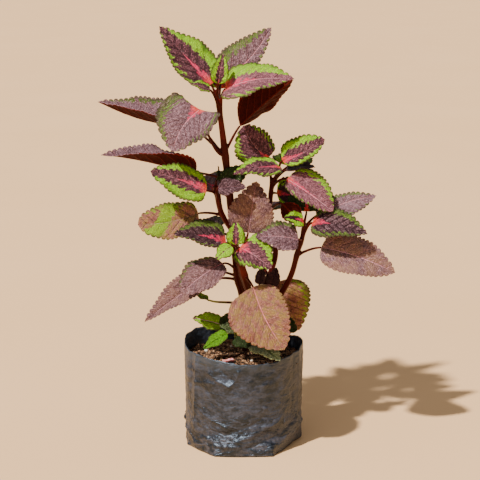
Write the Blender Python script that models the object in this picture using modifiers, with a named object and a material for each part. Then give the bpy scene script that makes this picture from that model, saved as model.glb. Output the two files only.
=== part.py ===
# Potted coleus in a black nursery grow bag.
#
# A thin polythene bag holds the soil. Two stems stand in the soil: a tall one with a short left
# branch, and one that forks low down into a front, a right and a rear stem. The leaf stalks are
# fused to their stem, and each leaf blade is a piece of its own just past the end of its stalk.
# Origin: the middle of the bag's flat base. +Z is up, and -Y is the side that the photograph shows.

import math

import bmesh
import bpy
from mathutils import Vector

MM = 0.001

# Driving dimensions, in millimetres
BAG_RADIUS = 59.0
BAG_FOOT_RADIUS = 57.0
BAG_FOOT_ROUNDING = 5.0
BAG_FOOT_RINGS = (0.0, 0.8, 2.4, 5.0)
FILM = 0.8
SOIL_TOP = 88.0
SOIL_MOUND = 1.6
SOIL_MOUND_EDGE = 14.0
STEM_DEPTH_IN_SOIL = 30.0
GAP = 0.3
BLADE = 0.7
STALK_ROOT_RADIUS = 1.5
STALK_TIP_RADIUS = 1.0

# Height of the bag's wavy rim by the angle around the axis, in degrees from +X
RIM = {
    -90: 93, -64: 93, -42: 96, -10: 100, 10: 102, 50: 97,
    95: 101, 140: 105, 155: 104, 180: 102, 215: 98, 232: 97, 255: 95,
}

# Mesh fineness
BAG_SIDES = 40
BAG_HEIGHTS = 8
STALK_STEPS = 4
LARGE_LEAF_TEETH = 8
SMALL_LEAF_TEETH = 5
SMALL_LEAF = 26.0
ROW_SPACING = 1.35
MIDDLE_ROW = 0.55

# The viewpoint of the photograph. Places on the plant are given as across and up on the upright
# plane through the bag's axis, and depth then slides the point along its line of sight.
EYE = Vector((-3.0, -1500.0, 500.0))

# Stems: across, up, depth and radius of each point, from the foot upwards
STEMS = {
    "tall": [(4, 107, 8, 4.9), (0, 147, 4, 4.6), (-5, 169, 3, 4.3), (-10.5, 224, 0, 3.9),
             (-18, 293, -2, 3.4), (-23.5, 335, -4, 2.2), (-27, 351, -5, 1.4)],
    "left": [(-10, 212, 0, 2.6), (-21, 230, -7, 2.3), (-28, 257, -13, 1.6)],
    "fork": [(20, 107, -2, 4.6), (19, 123, -3, 4.3), (17, 129, -4, 3.8)],
    "front": [(19, 118, -3, 3.4), (6, 151, -12, 3.4), (-2, 178, -17, 3.6), (-6, 195, -20, 2.4)],
    "right": [(19, 118, -3, 3.3), (39, 152, -7, 3.0), (48, 170, -9, 2.8), (54, 193, -11, 2.6),
              (58, 206, -11, 2.2), (60, 223, -10, 1.6)],
    "rear": [(19, 118, -3, 3.3), (20, 150, 5, 3.0), (28, 173, 10, 2.9), (32, 193, 12, 2.7),
             (27, 221, 11, 2.4), (28, 257, 8, 2.2), (37, 272, 4, 1.6)],
}
TALL_STEM = ["tall", "left"]
FORKED_STEM = ["fork", "front", "right", "rear"]
STANDING = ["tall", "fork"]

# Leaves: name, base, tip, width, the way the top faces (azimuth and elevation in degrees, and -90, 0
# looks at the viewer), the stem with the height where the stalk starts, and the leaf's own shape.
LEAVES = [
    ("crown_left", (-31, 356, -6), (-80, 412, 14), 45, (-62, 30), ("tall", 338),
     {"arch": 0.02, "bend": -0.02, "skew": 0.12}),
    ("crown_back", (-20, 358, 8), (27, 411, 26), 34, (-90, 30), ("tall", 340),
     {"arch": 0.02, "bend": 0.07, "skew": -0.4}),
    ("crown_right", (-17, 352, -9), (49, 362, -24), 50, (-92, 58), ("tall", 325), {"lobe": 0.14}),
    ("crown_bud", (-24, 357, -14), (-19, 386, -12), 17, (-90, 10), ("tall", 345), {"fold": 20}),
    ("crown_small", (-32, 351, -18), (-51, 357, -24), 13, (-95, 50), ("tall", 334), {}),
    ("upper_right", (-3, 316, 4), (48, 361, 2), 48, (115, 25), ("tall", 291),
     {"fold": 35, "arch": 0.02, "round": 0.95, "taper": 1.15, "lobe": 0.02, "rise": -0.05}),
    ("upper_front", (-42, 332, -20), (-69, 291, -40), 58, (-105, 30), ("tall", 289),
     {"round": 0.45, "lobe": 0.22, "skew": 0.06, "bend": 0.06, "taper": 0.9, "knee": -0.35, "rise": -0.42,
      "short": 0.8}),
    ("upper_left", (-55, 317, 2), (-140, 340, -6), 46, (-88, 60), ("tall", 289),
     {"fold": 58, "arch": -0.08, "cup": 0.0, "rise": -0.05}),
    ("folded_left", (-46, 271, 2), (-138, 288, -14), 39, (90, 82), ("tall", 262),
     {"fold": 45, "arch": 0.02, "peak": 1.6, "cup": 0.0, "twist": 60}),
    ("side_edge", (-26, 263, -10), (-24, 277, -6), 12, (-10, 10), ("left", 250), {}),
    ("side_green", (-21, 258, -10), (7, 277, -7), 20, (-90, 20), ("left", 234), {}),
    ("side_purple", (-24, 255, -21), (3, 256, -26), 18, (-90, 40), ("left", 240), {}),
    ("branch_left", (-36, 253, -22), (-90, 272, -34), 38, (-100, 45), ("left", 250),
     {"skew": -0.12, "taper": 0.9, "arch": 0.04}),
    ("branch_low", (-44, 230, -10), (-103, 219, -20), 36, (-95, 30), ("left", 228),
     {"bend": -0.06, "arch": 0.02, "taper": 0.65}),
    ("front_left", (-17, 201, -28), (-68, 210, -42), 32, (-95, 50), ("front", 190),
     {"skew": 0.2}),
    ("front_upright", (-7, 199, -30), (-7, 222, -28), 18, (-90, 15), ("front", 193), {}),
    ("front_small", (-11, 197, -46), (-27, 184, -52), 16, (-95, 45), ("front", 191),
     {"lobe": 0.0}),
    ("front_right", (-3, 196, -31), (28, 175, -46), 41, (-90, 48), ("front", 190),
     {"skew": -0.15}),
    ("middle_upright", (5, 211, -12), (13, 262, -6), 43, (-90, 12), ("front", 182), {}),
    ("middle_right", (54, 204, -22), (12, 207, -30), 33, (-88, 45), ("right", 203), {}),
    ("rear_right", (38.5, 282, -5), (79, 303, -9), 28, (-88, 40), ("rear", 268),
     {"arch": 0.0, "bend": 0.05, "taper": 0.85, "lobe": 0.06, "skew": -0.27}),
    ("rear_back", (23, 284, 8), (0, 316, 12), 38, (-80, 20), ("rear", 256),
     {"bend": -0.07, "taper": 0.8, "skew": -0.1, "arch": 0.03}),
    ("rear_left", (36, 275, -6), (-10, 269, -24), 31, (-90, 62), ("rear", 262), {}),
    ("rear_low", (43, 264, -8), (88, 232, -20), 38, (-70, 40), ("rear", 257),
     {"skew": -0.3, "arch": 0.03, "taper": 0.9}),
    ("rear_edge", (42, 273, 4), (70, 276, 0), 24, (-90, 78), ("rear", 262), {}),
    ("right_back", (72, 228, 2), (130, 248, 8), 33, (-85, 50), ("right", 214), {"skew": 0.3}),
    ("right_marked", (68, 221, -17), (122, 210, -32), 37, (-88, 50), ("right", 204), {}),
    ("right_low", (77, 196, -14), (150, 171, -24), 43, (-85, 40), ("right", 188),
     {"skew": 0.04, "taper": 0.95}),
    ("right_dark", (38, 240, -4), (56, 219, -6), 20, (80, 10), ("rear", 234),
     {"lobe": 0.0, "round": 0.9, "knee": 0.3, "short": 0.8}),
    ("right_bright", (59, 222, -19), (40, 226, -26), 18, (-95, 45), ("right", 213), {}),
    ("right_shaded", (62, 232, 2), (63, 265, 9), 36, (-90, 20), ("right", 218), {}),
    ("right_curl", (46, 213, -3), (40, 220, -3), 6, (-90, 50), ("right", 200), {}),
    ("low_left", (-20, 180, -18), (-61, 150, -38), 37, (-110, 40), ("tall", 172),
     {"taper": 0.8, "round": 0.7}),
    ("low_left_long", (-25, 171, 2), (-98, 121, -14), 34, (-110, 40), ("tall", 166),
     {"fold": 30, "arch": 0.05}),
    ("low_front", (10, 156, -30), (41, 92, -66), 57, (-92, 28), ("front", 168),
     {"bend": 0.05, "skew": 0.16, "taper": 0.85, "lobe": 0.03}),
    ("low_olive", (34, 161, 22), (56, 112, 29), 50, (-85, 5), ("rear", 150),
     {"fold": 0.0, "lobe": 0.0, "short": 0.6}),
    ("low_green", (38, 119, 6), (54, 112, 3), 17, (-85, 20), ("fork", 112),
     {"lobe": 0.0}),
    ("soil_pale", (12, 97, -32), (37, 81, -60), 25, (-90, 68), ("fork", 109), {}),
    ("soil_left", (-21, 118, -8), (-50, 125, -12), 20, (-95, 50), ("tall", 109),
     {"arch": 0.03}),
    ("soil_upright", (-19, 117, -13), (-15, 130, -12), 11, (-90, 10), ("tall", 107), {}),
    ("soil_grey", (-9, 111, -22), (-23, 117, -26), 13, (-90, 60), ("tall", 105), {}),
    ("soil_front_left", (-16, 109, -28), (-40, 93, -30), 15, (-95, 50), ("tall", 100),
     {"arch": 0.03, "rise": -0.05}),
    ("soil_dark", (-7, 105, -24), (8, 95, -32), 19, (-90, 50), ("tall", 100), {}),
    ("soil_yellow", (-34, 143, 2), (-53, 150, -2), 12, (-90, 75), ("tall", 138), {}),
    ("fork_dark", (16, 159, -8), (19, 178, -5), 10, (-90, 10), ("rear", 140), {}),
    ("fork_side", (28, 158, -3), (33, 176, -2), 13, (-90, 10), ("rear", 142), {}),
    ("crown_rear", (-22, 352, 20), (-20, 382, 64), 38, (-90, 62), ("tall", 336), {}),
    ("upper_rear", (-38, 312, 16), (-54, 320, 66), 36, (-100, 75), ("tall", 286),
     {"rise": -0.05}),
    ("side_rear", (-26, 253, 18), (-50, 264, 66), 44, (-110, 70), ("tall", 245), {}),
    ("middle_rear", (16, 232, 34), (22, 240, 84), 44, (-80, 72), ("rear", 216), {}),
    ("right_rear", (33, 250, 17), (66, 241, 42), 36, (-92, 32), ("rear", 250), {}),
    ("low_rear", (14, 186, 34), (6, 192, 84), 40, (-95, 74), ("rear", 166), {}),
    ("rear_far", (44, 277, 14), (54, 284, 60), 38, (-80, 72), ("rear", 266), {}),
    ("branch_rear", (-30, 213, 16), (-48, 221, 62), 36, (-105, 74), ("tall", 206), {}),
    ("low_left_rear", (-34, 166, 18), (-54, 163, 62), 36, (-110, 74), ("tall", 163), {}),
]

# Leaf shape where the list above says nothing else. arch raises the midrib and bend moves it
# sideways, both as parts of the length, and peak sets where. fold is the angle that each half stands
# up at, cup bends the margins, twist turns the tip, and wave is in millimetres. lobe draws the base
# corners back, round and taper shape the base and the tip, and skew makes the right half wider. knee
# turns the stalk's end into the blade's line, rise lifts its start, and short ends it early.
LEAF_SHAPE = {"arch": 0.08, "peak": 0.9, "bend": 0.0, "fold": 12.0, "cup": -0.10, "twist": 0.0,
              "wave": 1.2, "waves": 2.0, "lobe": 0.07, "round": 0.55, "taper": 1.15, "skew": 0.0,
              "knee": 0.6, "rise": 0.08, "short": 0.0}
TOOTH = 0.035


def seen(across, up, depth):
    """Place a point along the viewer's line of sight through a spot on the upright plane."""
    spot = Vector((across, 0.0, up))
    sight = spot - EYE
    return spot + sight * (depth / sight.y)


def smooth_path(points, steps):
    """Run a smooth curve through the points, which may carry a radius as a fourth number."""
    ends = [points[0] * 2 - points[1]] + points + [points[-1] * 2 - points[-2]]
    path = []
    for i in range(1, len(ends) - 2):
        p0, p1, p2, p3 = ends[i - 1:i + 3]
        for k in range(steps):
            t = k / steps
            path.append(0.5 * (2 * p1 + (p2 - p0) * t + (2 * p0 - 5 * p1 + 4 * p2 - p3) * t ** 2
                               + (3 * p1 - p0 - 3 * p2 + p3) * t ** 3))
    return path + [points[-1]]


def stem_points(name):
    """Give a stem's points in space with their radii, on a straight foot where it is in the soil."""
    points = []
    for across, up, depth, radius in STEMS[name]:
        place = seen(across, up, depth)
        points.append(Vector((*place, radius)))
    if name in STANDING:
        foot = points[0].copy()
        foot.z = SOIL_TOP + SOIL_MOUND + 1.0
        deep = foot.copy()
        deep.z = SOIL_TOP - STEM_DEPTH_IN_SOIL
        return [deep] + smooth_path([foot] + points, 2)
    return smooth_path(points, 2)


def point_on_stem(name, up):
    """Find the spot on a stem's centre line that is seen at a height on the upright plane."""
    path = [Vector(p[:3]) for p in stem_points(name)]
    for low, high in zip(path, path[1:]):
        up_low, up_high = (on_plane_height(p) for p in (low, high))
        if up_low <= up <= up_high:
            return low.lerp(high, (up - up_low) / (up_high - up_low))
    return path[-1]


def on_plane_height(point):
    """Read the height at which the line of sight to a point meets the upright plane."""
    sight = point - EYE
    return EYE.z + sight.z * (-EYE.y / sight.y)


class Leaf:
    """A leaf's measurements, its own axes and the points of its blade."""

    def __init__(self, name, base, tip, width, facing, root, shape):
        self.name = "leaf_" + name
        self.base = seen(*base)
        self.width = width
        self.root = root
        self.shape = {**LEAF_SHAPE, **shape}
        along = seen(*tip) - self.base
        self.length = along.length
        self.along = along.normalized()
        azimuth, elevation = (math.radians(a) for a in facing)
        face = Vector((math.cos(elevation) * math.cos(azimuth),
                       math.cos(elevation) * math.sin(azimuth), math.sin(elevation)))
        self.across = self.along.cross(face).normalized()
        self.normal = self.across.cross(self.along)

    def half_width(self, t):
        """Width of one half of the blade at a part t of its length."""
        rise, fall = self.shape["round"], self.shape["taper"]
        widest = rise / (rise + fall)
        if t <= 0 or t >= 1:
            return 0.0
        return self.width / 2 * (t / widest) ** rise * ((1 - t) / (1 - widest)) ** fall

    def point(self, t, s, tooth=0.0):
        """A point of the blade: t runs from base to tip, and s from one margin to the other."""
        shape = self.shape
        side = math.copysign(1.0, s) if s else 0.0
        half = self.half_width(t) * (1 + shape["skew"] * side) + tooth
        d = abs(s) * half
        fold = math.radians(shape["fold"])
        x = side * d * math.cos(fold)
        z = d * math.sin(fold) + shape["cup"] * half * s * s
        z += shape["wave"] * math.sin(math.tau * shape["waves"] * t + side) * s * s \
            * math.sin(math.pi * t)
        turn = math.radians(shape["twist"]) * t * t
        x, z = x * math.cos(turn) - z * math.sin(turn), x * math.sin(turn) + z * math.cos(turn)
        x += shape["bend"] * self.length * math.sin(math.pi * t)
        z += shape["arch"] * self.length * math.sin(math.pi * t ** shape["peak"])
        y = self.length * (t - shape["lobe"] * abs(s) ** 1.5 * math.sin(math.pi * min(t / 0.3, 1)))
        return self.base + self.across * x + self.along * y + self.normal * z

    def stalk(self):
        """Points of the stalk's centre line, from inside the stem to just short of the blade."""
        shape = self.shape
        root = point_on_stem(*self.root)
        straight = self.base - root
        reach = straight.length
        straight.normalize()
        blade_start = self.along + self.across * math.pi * shape["bend"] \
            + self.normal * math.pi * shape["arch"]
        end_way = blade_start.normalized().lerp(straight, 1 - shape["knee"]).normalized()
        first = root + straight * reach * 0.35 + Vector((0, 0, reach * shape["rise"]))
        last = self.base - end_way * reach * 0.3
        end = self.base - end_way * (BLADE / 2 + GAP + shape["short"])
        path = []
        for k in range(STALK_STEPS + 1):
            t = k / STALK_STEPS
            path.append(root * (1 - t) ** 3 + first * 3 * t * (1 - t) ** 2
                        + last * 3 * t * t * (1 - t) + end * t ** 3)
        return path


def rim_height(angle):
    """Height of the bag's rim at an angle in degrees, read smoothly between the listed ones."""
    marks = sorted(RIM)
    angle = (angle - marks[0]) % 360 + marks[0]
    loop = marks + [marks[0] + 360]
    for low, high in zip(loop, loop[1:]):
        if low <= angle <= high:
            t = (angle - low) / (high - low)
            ease = (1 - math.cos(math.pi * t)) / 2
            return RIM[low] + (RIM[high if high < loop[-1] else marks[0]] - RIM[low]) * ease


def ring_height(ring, top):
    """Height of one of the bag's rings: close together at the rounded foot, then even."""
    low = len(BAG_FOOT_RINGS) - 1
    if ring <= low:
        return BAG_FOOT_RINGS[ring]
    return BAG_FOOT_RINGS[low] + (top - BAG_FOOT_RINGS[low]) * (ring - low) / (BAG_HEIGHTS - low)


def bag_radius(angle, height):
    """Outer radius of the bag: nearly a cylinder, rounded in at the foot, with soft folds."""
    t = min(height / 90, 1)
    radius = BAG_FOOT_RADIUS + (BAG_RADIUS - BAG_FOOT_RADIUS) * t
    a = math.radians(angle)
    radius += 0.7 * math.sin(3 * a + 0.6) + 0.4 * math.sin(7 * a + 2 * t)
    if height < BAG_FOOT_ROUNDING:
        drop = 1 - height / BAG_FOOT_ROUNDING
        radius -= BAG_FOOT_ROUNDING * (1 - math.sqrt(1 - drop * drop)) * 0.8
    return radius


def new_object(name, mesh, collection, colour, roughness):
    """Make an object in its collection with a material of its own."""
    obj = bpy.data.objects.new(name, mesh)
    collection.objects.link(obj)
    material = bpy.data.materials.new(name)
    material.use_nodes = True
    shader = material.node_tree.nodes["Principled BSDF"]
    shader.inputs["Base Color"].default_value = (*colour, 1)
    shader.inputs["Roughness"].default_value = roughness
    mesh.materials.append(material)
    return obj


def make_bag(collection):
    """The film: an open cylinder of rings, closed at the foot, thickened inwards."""
    shell = bmesh.new()
    bmesh.ops.create_cone(shell, cap_ends=True, segments=BAG_SIDES, radius1=1, radius2=1, depth=1)
    top = max(shell.faces, key=lambda f: f.calc_center_median().z)
    bmesh.ops.delete(shell, geom=[top], context="FACES_ONLY")
    upright = [e for e in shell.edges if abs(e.verts[0].co.z - e.verts[1].co.z) > 0.5]
    bmesh.ops.subdivide_edges(shell, edges=upright, cuts=BAG_HEIGHTS - 1, use_grid_fill=True)
    for vert in shell.verts:
        angle = math.degrees(math.atan2(vert.co.y, vert.co.x))
        height = ring_height(round((vert.co.z + 0.5) * BAG_HEIGHTS), rim_height(angle))
        radius = bag_radius(angle, height)
        a = math.radians(angle)
        vert.co = Vector((radius * math.cos(a), radius * math.sin(a), height)) * MM
    foot = min(shell.faces, key=lambda f: f.calc_center_median().z)
    bmesh.ops.poke(shell, faces=[foot])
    mesh = bpy.data.meshes.new("grow_bag")
    shell.to_mesh(mesh)
    shell.free()
    bag = new_object("grow_bag", mesh, collection, (0.022, 0.023, 0.025), 0.38)
    film = bag.modifiers.new("film", "SOLIDIFY")
    film.thickness = FILM * MM
    film.offset = -1
    return bag


def make_soil(collection, guides):
    """The soil block, a gap inside the film all round, with a plain hole for each stem."""
    block = bmesh.new()
    bmesh.ops.create_cone(block, cap_ends=True, segments=BAG_SIDES, radius1=1, radius2=1, depth=1)
    upright = [e for e in block.edges if abs(e.verts[0].co.z - e.verts[1].co.z) > 0.5]
    bmesh.ops.subdivide_edges(block, edges=upright, cuts=BAG_HEIGHTS - 1, use_grid_fill=True)
    for vert in block.verts:
        angle = math.degrees(math.atan2(vert.co.y, vert.co.x))
        height = ring_height(round((vert.co.z + 0.5) * BAG_HEIGHTS), SOIL_TOP - FILM - GAP)
        radius = bag_radius(angle, height) - FILM - 2 * GAP
        a = math.radians(angle)
        vert.co = Vector((radius * math.cos(a), radius * math.sin(a), height + FILM + GAP))
    top = max(block.faces, key=lambda f: f.calc_center_median().z)
    bmesh.ops.inset_region(block, faces=[top], thickness=SOIL_MOUND_EDGE, use_even_offset=True)
    for vert in top.verts:
        vert.co.z += SOIL_MOUND
    bmesh.ops.scale(block, vec=(MM, MM, MM), verts=block.verts)
    mesh = bpy.data.meshes.new("soil")
    block.to_mesh(mesh)
    block.free()
    soil = new_object("soil", mesh, collection, (0.05, 0.025, 0.014), 0.95)
    for name in STANDING:
        foot = stem_points(name)[0]
        drill = bmesh.new()
        bmesh.ops.create_cone(drill, cap_ends=True, segments=16, radius1=(foot.w + 2 * GAP) * MM,
                              radius2=(foot.w + 2 * GAP) * MM, depth=2 * STEM_DEPTH_IN_SOIL * MM)
        drill_mesh = bpy.data.meshes.new("hole_" + name)
        drill.to_mesh(drill_mesh)
        drill.free()
        cutter = bpy.data.objects.new("hole_" + name, drill_mesh)
        guides.objects.link(cutter)
        cutter.location = Vector((foot.x, foot.y, SOIL_TOP - GAP)) * MM
        cutter.hide_render = True
        cutter.display_type = "WIRE"
        hole = soil.modifiers.new(cutter.name, "BOOLEAN")
        hole.operation = "DIFFERENCE"
        hole.object = cutter
    return soil


def tube(name, path, radii, collection):
    """A round rod along a path, as a closed mesh."""
    curve = bpy.data.curves.new(name, "CURVE")
    curve.dimensions = "3D"
    curve.bevel_depth = MM
    curve.bevel_resolution = 2 if max(radii) > 1.6 else 1
    curve.use_fill_caps = True
    spline = curve.splines.new("POLY")
    spline.points.add(len(path) - 1)
    for point, place, radius in zip(spline.points, path, radii):
        point.co = (*(Vector(place[:3]) * MM), 1)
        point.radius = radius
    guide = bpy.data.objects.new(name, curve)
    collection.objects.link(guide)
    mesh = bpy.data.meshes.new_from_object(guide.evaluated_get(bpy.context.evaluated_depsgraph_get()))
    bpy.data.objects.remove(guide)
    bpy.data.curves.remove(curve)
    welded = bmesh.new()
    welded.from_mesh(mesh)
    bmesh.ops.remove_doubles(welded, verts=welded.verts, dist=0.01 * MM)
    welded.to_mesh(mesh)
    welded.free()
    rod = bpy.data.objects.new(name, mesh)
    collection.objects.link(rod)
    return rod


def make_stem(name, stem_names, leaves, collection):
    """One plant stem: its first tube joined with its branches and all its leaf stalks."""
    joined = bpy.data.collections.new(name + "_stalks")
    bpy.context.scene.collection.children.link(joined)
    for stem in stem_names[1:]:
        points = stem_points(stem)
        tube(stem, points, [p.w for p in points], joined)
    for leaf in leaves:
        if leaf.root[0] in stem_names:
            path = leaf.stalk()
            slim = (STALK_TIP_RADIUS - STALK_ROOT_RADIUS) / STALK_STEPS
            tube(leaf.name + "_stalk", path,
                 [STALK_ROOT_RADIUS + slim * k for k in range(len(path))], joined)
    points = stem_points(stem_names[0])
    rod = tube(name, points, [p.w for p in points], joined)
    joined.objects.unlink(rod)
    collection.objects.link(rod)
    union = rod.modifiers.new("stalks", "BOOLEAN")
    union.operation = "UNION"
    union.operand_type = "COLLECTION"
    union.collection = joined
    union.solver = "MANIFOLD"
    mesh = bpy.data.meshes.new_from_object(rod.evaluated_get(bpy.context.evaluated_depsgraph_get()))
    for obj in list(joined.objects) + [rod]:
        bpy.data.objects.remove(obj)
    bpy.data.collections.remove(joined)
    return new_object(name, mesh, collection, (0.09, 0.012, 0.012), 0.45)


def make_blade(leaf, collection):
    """A toothed leaf blade: rows of points from base to tip, thickened evenly on both faces."""
    teeth = LARGE_LEAF_TEETH if leaf.length > SMALL_LEAF else SMALL_LEAF_TEETH
    rows = 2 * teeth
    blade = bmesh.new()
    base = blade.verts.new(leaf.point(0, 0) * MM)
    tip = blade.verts.new(leaf.point(1, 0) * MM)
    part = [(k / rows) ** ROW_SPACING for k in range(rows + 1)]
    rib = {k: blade.verts.new(leaf.point(part[k], 0) * MM) for k in range(2, rows, 2)}
    rib.update({0: base, rows: tip})
    for side in (-1, 1):
        middle = {k: blade.verts.new(leaf.point(part[k], side * MIDDLE_ROW) * MM)
                  for k in range(2, rows, 2)}
        margin = {k: blade.verts.new(leaf.point(part[k], side, TOOTH * leaf.width * (k % 2)) * MM)
                  for k in range(1, rows)}
        middle.update({0: base, rows: tip})
        margin.update({0: base, rows: tip})
        for k in range(0, rows, 2):
            strip = [(rib[k], rib[k + 2], middle[k + 2]), (rib[k], middle[k + 2], middle[k]),
                     (middle[k], margin[k + 1], margin[k]), (middle[k], middle[k + 2], margin[k + 1]),
                     (middle[k + 2], margin[k + 2], margin[k + 1])]
            for corners in strip:
                if len(set(corners)) == 3:
                    blade.faces.new(corners if side < 0 else corners[::-1])
    bmesh.ops.recalc_face_normals(blade, faces=blade.faces)
    mesh = bpy.data.meshes.new(leaf.name)
    blade.to_mesh(mesh)
    blade.free()
    obj = new_object(leaf.name, mesh, collection, (0.16, 0.07, 0.08), 0.5)
    sheet = obj.modifiers.new("sheet", "SOLIDIFY")
    sheet.thickness = BLADE * MM
    sheet.offset = 0
    return obj


for old in list(bpy.data.objects):
    bpy.data.objects.remove(old, do_unlink=True)

plant = bpy.data.collections.new("potted_coleus")
bpy.context.scene.collection.children.link(plant)
cutters = bpy.data.collections.new("cutters")
bpy.context.scene.collection.children.link(cutters)

leaves = [Leaf(*row) for row in LEAVES]
make_bag(plant)
make_soil(plant, cutters)
make_stem("stem_tall", TALL_STEM, leaves, plant)
make_stem("stem_forked", FORKED_STEM, leaves, plant)
for leaf in leaves:
    make_blade(leaf, plant)
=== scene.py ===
# %% [markdown]
# # Potted coleus
# This lesson dresses the CAD model of a young coleus that stands in a black nursery bag. The CAD
# model fixes every size and place. Here each of its plain solids is swapped for a piece with the
# real shape and finish: scalloped leaves with sunken veins, square stems, crumpled film and coarse
# coco peat. Everything is in the frame of the CAD model, with its origin under the bag.

# %% Load the fixed frame
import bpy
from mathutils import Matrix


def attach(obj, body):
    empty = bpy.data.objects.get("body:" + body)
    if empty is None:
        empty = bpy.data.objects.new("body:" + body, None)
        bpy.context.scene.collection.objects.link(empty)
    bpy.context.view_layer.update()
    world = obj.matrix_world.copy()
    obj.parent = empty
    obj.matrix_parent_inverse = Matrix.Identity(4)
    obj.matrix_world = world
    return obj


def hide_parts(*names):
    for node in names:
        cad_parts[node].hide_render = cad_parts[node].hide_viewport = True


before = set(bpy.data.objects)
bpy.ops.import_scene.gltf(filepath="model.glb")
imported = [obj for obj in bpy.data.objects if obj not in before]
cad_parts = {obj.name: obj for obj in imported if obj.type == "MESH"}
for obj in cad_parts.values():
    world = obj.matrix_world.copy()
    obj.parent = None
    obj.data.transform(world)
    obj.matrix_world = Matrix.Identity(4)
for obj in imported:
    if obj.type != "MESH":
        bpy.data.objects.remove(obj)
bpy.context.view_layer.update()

import math

import bmesh
import bpy
from mathutils import Matrix, Vector, kdtree, noise

MM = 0.001
print("nodes in the frame:", len(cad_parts))

# %% [markdown]
# ## The viewpoint
# A plant has no square corners to measure from, so its places are given the way an eye reads them:
# across and up on an upright plane through the middle of the bag, and then a depth along the line of
# sight. The camera stands at the eye that those places were read from, level with the top of the
# plant and looking a little down. All the sizes below are in millimetres.

# %% Camera at the eye
def add_object(name, data):
    """Put a mesh, a camera or a light in the scene as an object."""
    made = bpy.data.objects.new(name, data)
    bpy.context.scene.collection.objects.link(made)
    return made


def set_up(thing, **settings):
    """Give a new camera, node, modifier or light its settings."""
    for name, value in settings.items():
        setattr(thing, name, value)
    return thing


EYE = Vector((-3.0, -1500.0, 500.0))
LOOK_AT = Vector((-3.0, 0.0, 203.5))
LENS = 116.9
SENSOR = 36.0


def seen(across, up, depth):
    """Place a point along the line of sight through a spot on the upright plane."""
    spot = Vector((across, 0.0, up))
    sight = spot - EYE
    return spot + sight * (depth / sight.y)


camera_data = set_up(bpy.data.cameras.new("camera"), lens=LENS, sensor_width=SENSOR)
camera = add_object("camera", camera_data)
camera.location = EYE * MM
camera.rotation_euler = (LOOK_AT - EYE).to_track_quat("-Z", "Y").to_euler()
bpy.context.scene.camera = camera
print("camera looks down by", round(90 - math.degrees(camera.rotation_euler.x), 1), "degrees")

# %% [markdown]
# ## Formulas that build their own nodes
# Both Geometry Nodes and materials do their sums with Math nodes, and a long formula takes dozens.
# A small class lets Python write the formula and adds the nodes behind it, so that the trees further
# on can be read as the sums that they are.

# %% A socket that behaves like a number
class Field:
    """A node socket that can be used in sums."""

    def __init__(self, socket):
        self.socket = socket

    def do(self, operation, *others):
        """Pass this value, and any others, through one Math node."""
        return calculate(self.socket.id_data, operation, self, *others)

    def __abs__(self):
        return self.do("ABSOLUTE")


def plug(value, socket):
    """Link a field to a socket, or write a plain value on it."""
    if isinstance(value, Field):
        socket.id_data.links.new(value.socket, socket)
    else:
        socket.default_value = value


def calculate(tree, operation, *values):
    """Add one Math node for these values."""
    step = set_up(tree.nodes.new("ShaderNodeMath"), operation=operation)
    for value, socket in zip(values, step.inputs):
        plug(value, socket)
    return Field(step.outputs[0])


SIGNS = {"add": "ADD", "sub": "SUBTRACT", "mul": "MULTIPLY", "truediv": "DIVIDE", "pow": "POWER"}
for sign, operation in SIGNS.items():
    setattr(Field, f"__{sign}__", lambda a, b, op=operation: a.do(op, b))
    setattr(Field, f"__r{sign}__", lambda a, b, op=operation: calculate(a.socket.id_data, op, b, a))
print("sums ready:", ", ".join(SIGNS))


# %% Steps, textures and vectors
def node(tree, kind, output=0, settings=None, **inputs):
    """Add a node, set it up, feed its sockets by name or number, and give one of its outputs."""
    made = set_up(tree.nodes.new(kind), **(settings or {}))
    for name, value in inputs.items():
        plug(value, made.inputs[int(name[1:]) if name[0] == "_" else name.replace("_", " ")])
    return Field(made.outputs[output])


def ramp(x, low, high):
    """Ease from 0 to 1 while x goes from low to high."""
    return node(x.socket.id_data, "ShaderNodeMapRange", "Result", {"interpolation_type": "SMOOTHSTEP"},
                Value=x, From_Min=low, From_Max=high)


def noise_field(vector, scale, detail=2.0, distortion=0.0):
    """Smooth cloudy noise from 0 to 1 over a vector field."""
    return node(vector.socket.id_data, "ShaderNodeTexNoise", 0, Vector=vector, Scale=scale,
                Detail=detail, Distortion=distortion)


def cell_edges(vector, scale):
    """Distance to the nearest edge of a net of irregular cells."""
    return node(vector.socket.id_data, "ShaderNodeTexVoronoi", "Distance",
                {"feature": "DISTANCE_TO_EDGE"}, Vector=vector, Scale=scale)


def vector_of(tree, x, y, z):
    """Join three numbers into a vector."""
    return node(tree, "ShaderNodeCombineXYZ", 0, X=x, Y=y, Z=z)


def store(shape, kind, domain, name, value):
    """Store a field under a name on the points or the instances of a shape."""
    return node(shape.socket.id_data, "GeometryNodeStoreNamedAttribute", 0,
                {"data_type": kind, "domain": domain}, Geometry=shape, Value=value, Name=name)


def parts_of(vector):
    """Split a vector field into its three numbers."""
    split = vector.socket.id_data.nodes.new("ShaderNodeSeparateXYZ")
    plug(vector, split.inputs[0])
    return [Field(socket) for socket in split.outputs]


print("helpers for textures and vectors ready")


# %% Trees with named inputs
def start_tree(name, numbers, counts, materials):
    """Start a Geometry Nodes tree with named inputs, and give it with a field for each input."""
    tree = bpy.data.node_groups.new(name, "GeometryNodeTree")
    tree.interface.new_socket("Geometry", in_out="OUTPUT", socket_type="NodeSocketGeometry")
    tree.interface.new_socket("Geometry", in_out="INPUT", socket_type="NodeSocketGeometry")
    for labels, kind in ((numbers, "Float"), (counts, "Int"), (materials, "Material")):
        for label in labels:
            tree.interface.new_socket(label, in_out="INPUT", socket_type="NodeSocket" + kind)
    start = tree.nodes.new("NodeGroupInput")
    return tree, {socket.name: Field(socket) for socket in start.outputs if socket.name}


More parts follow.
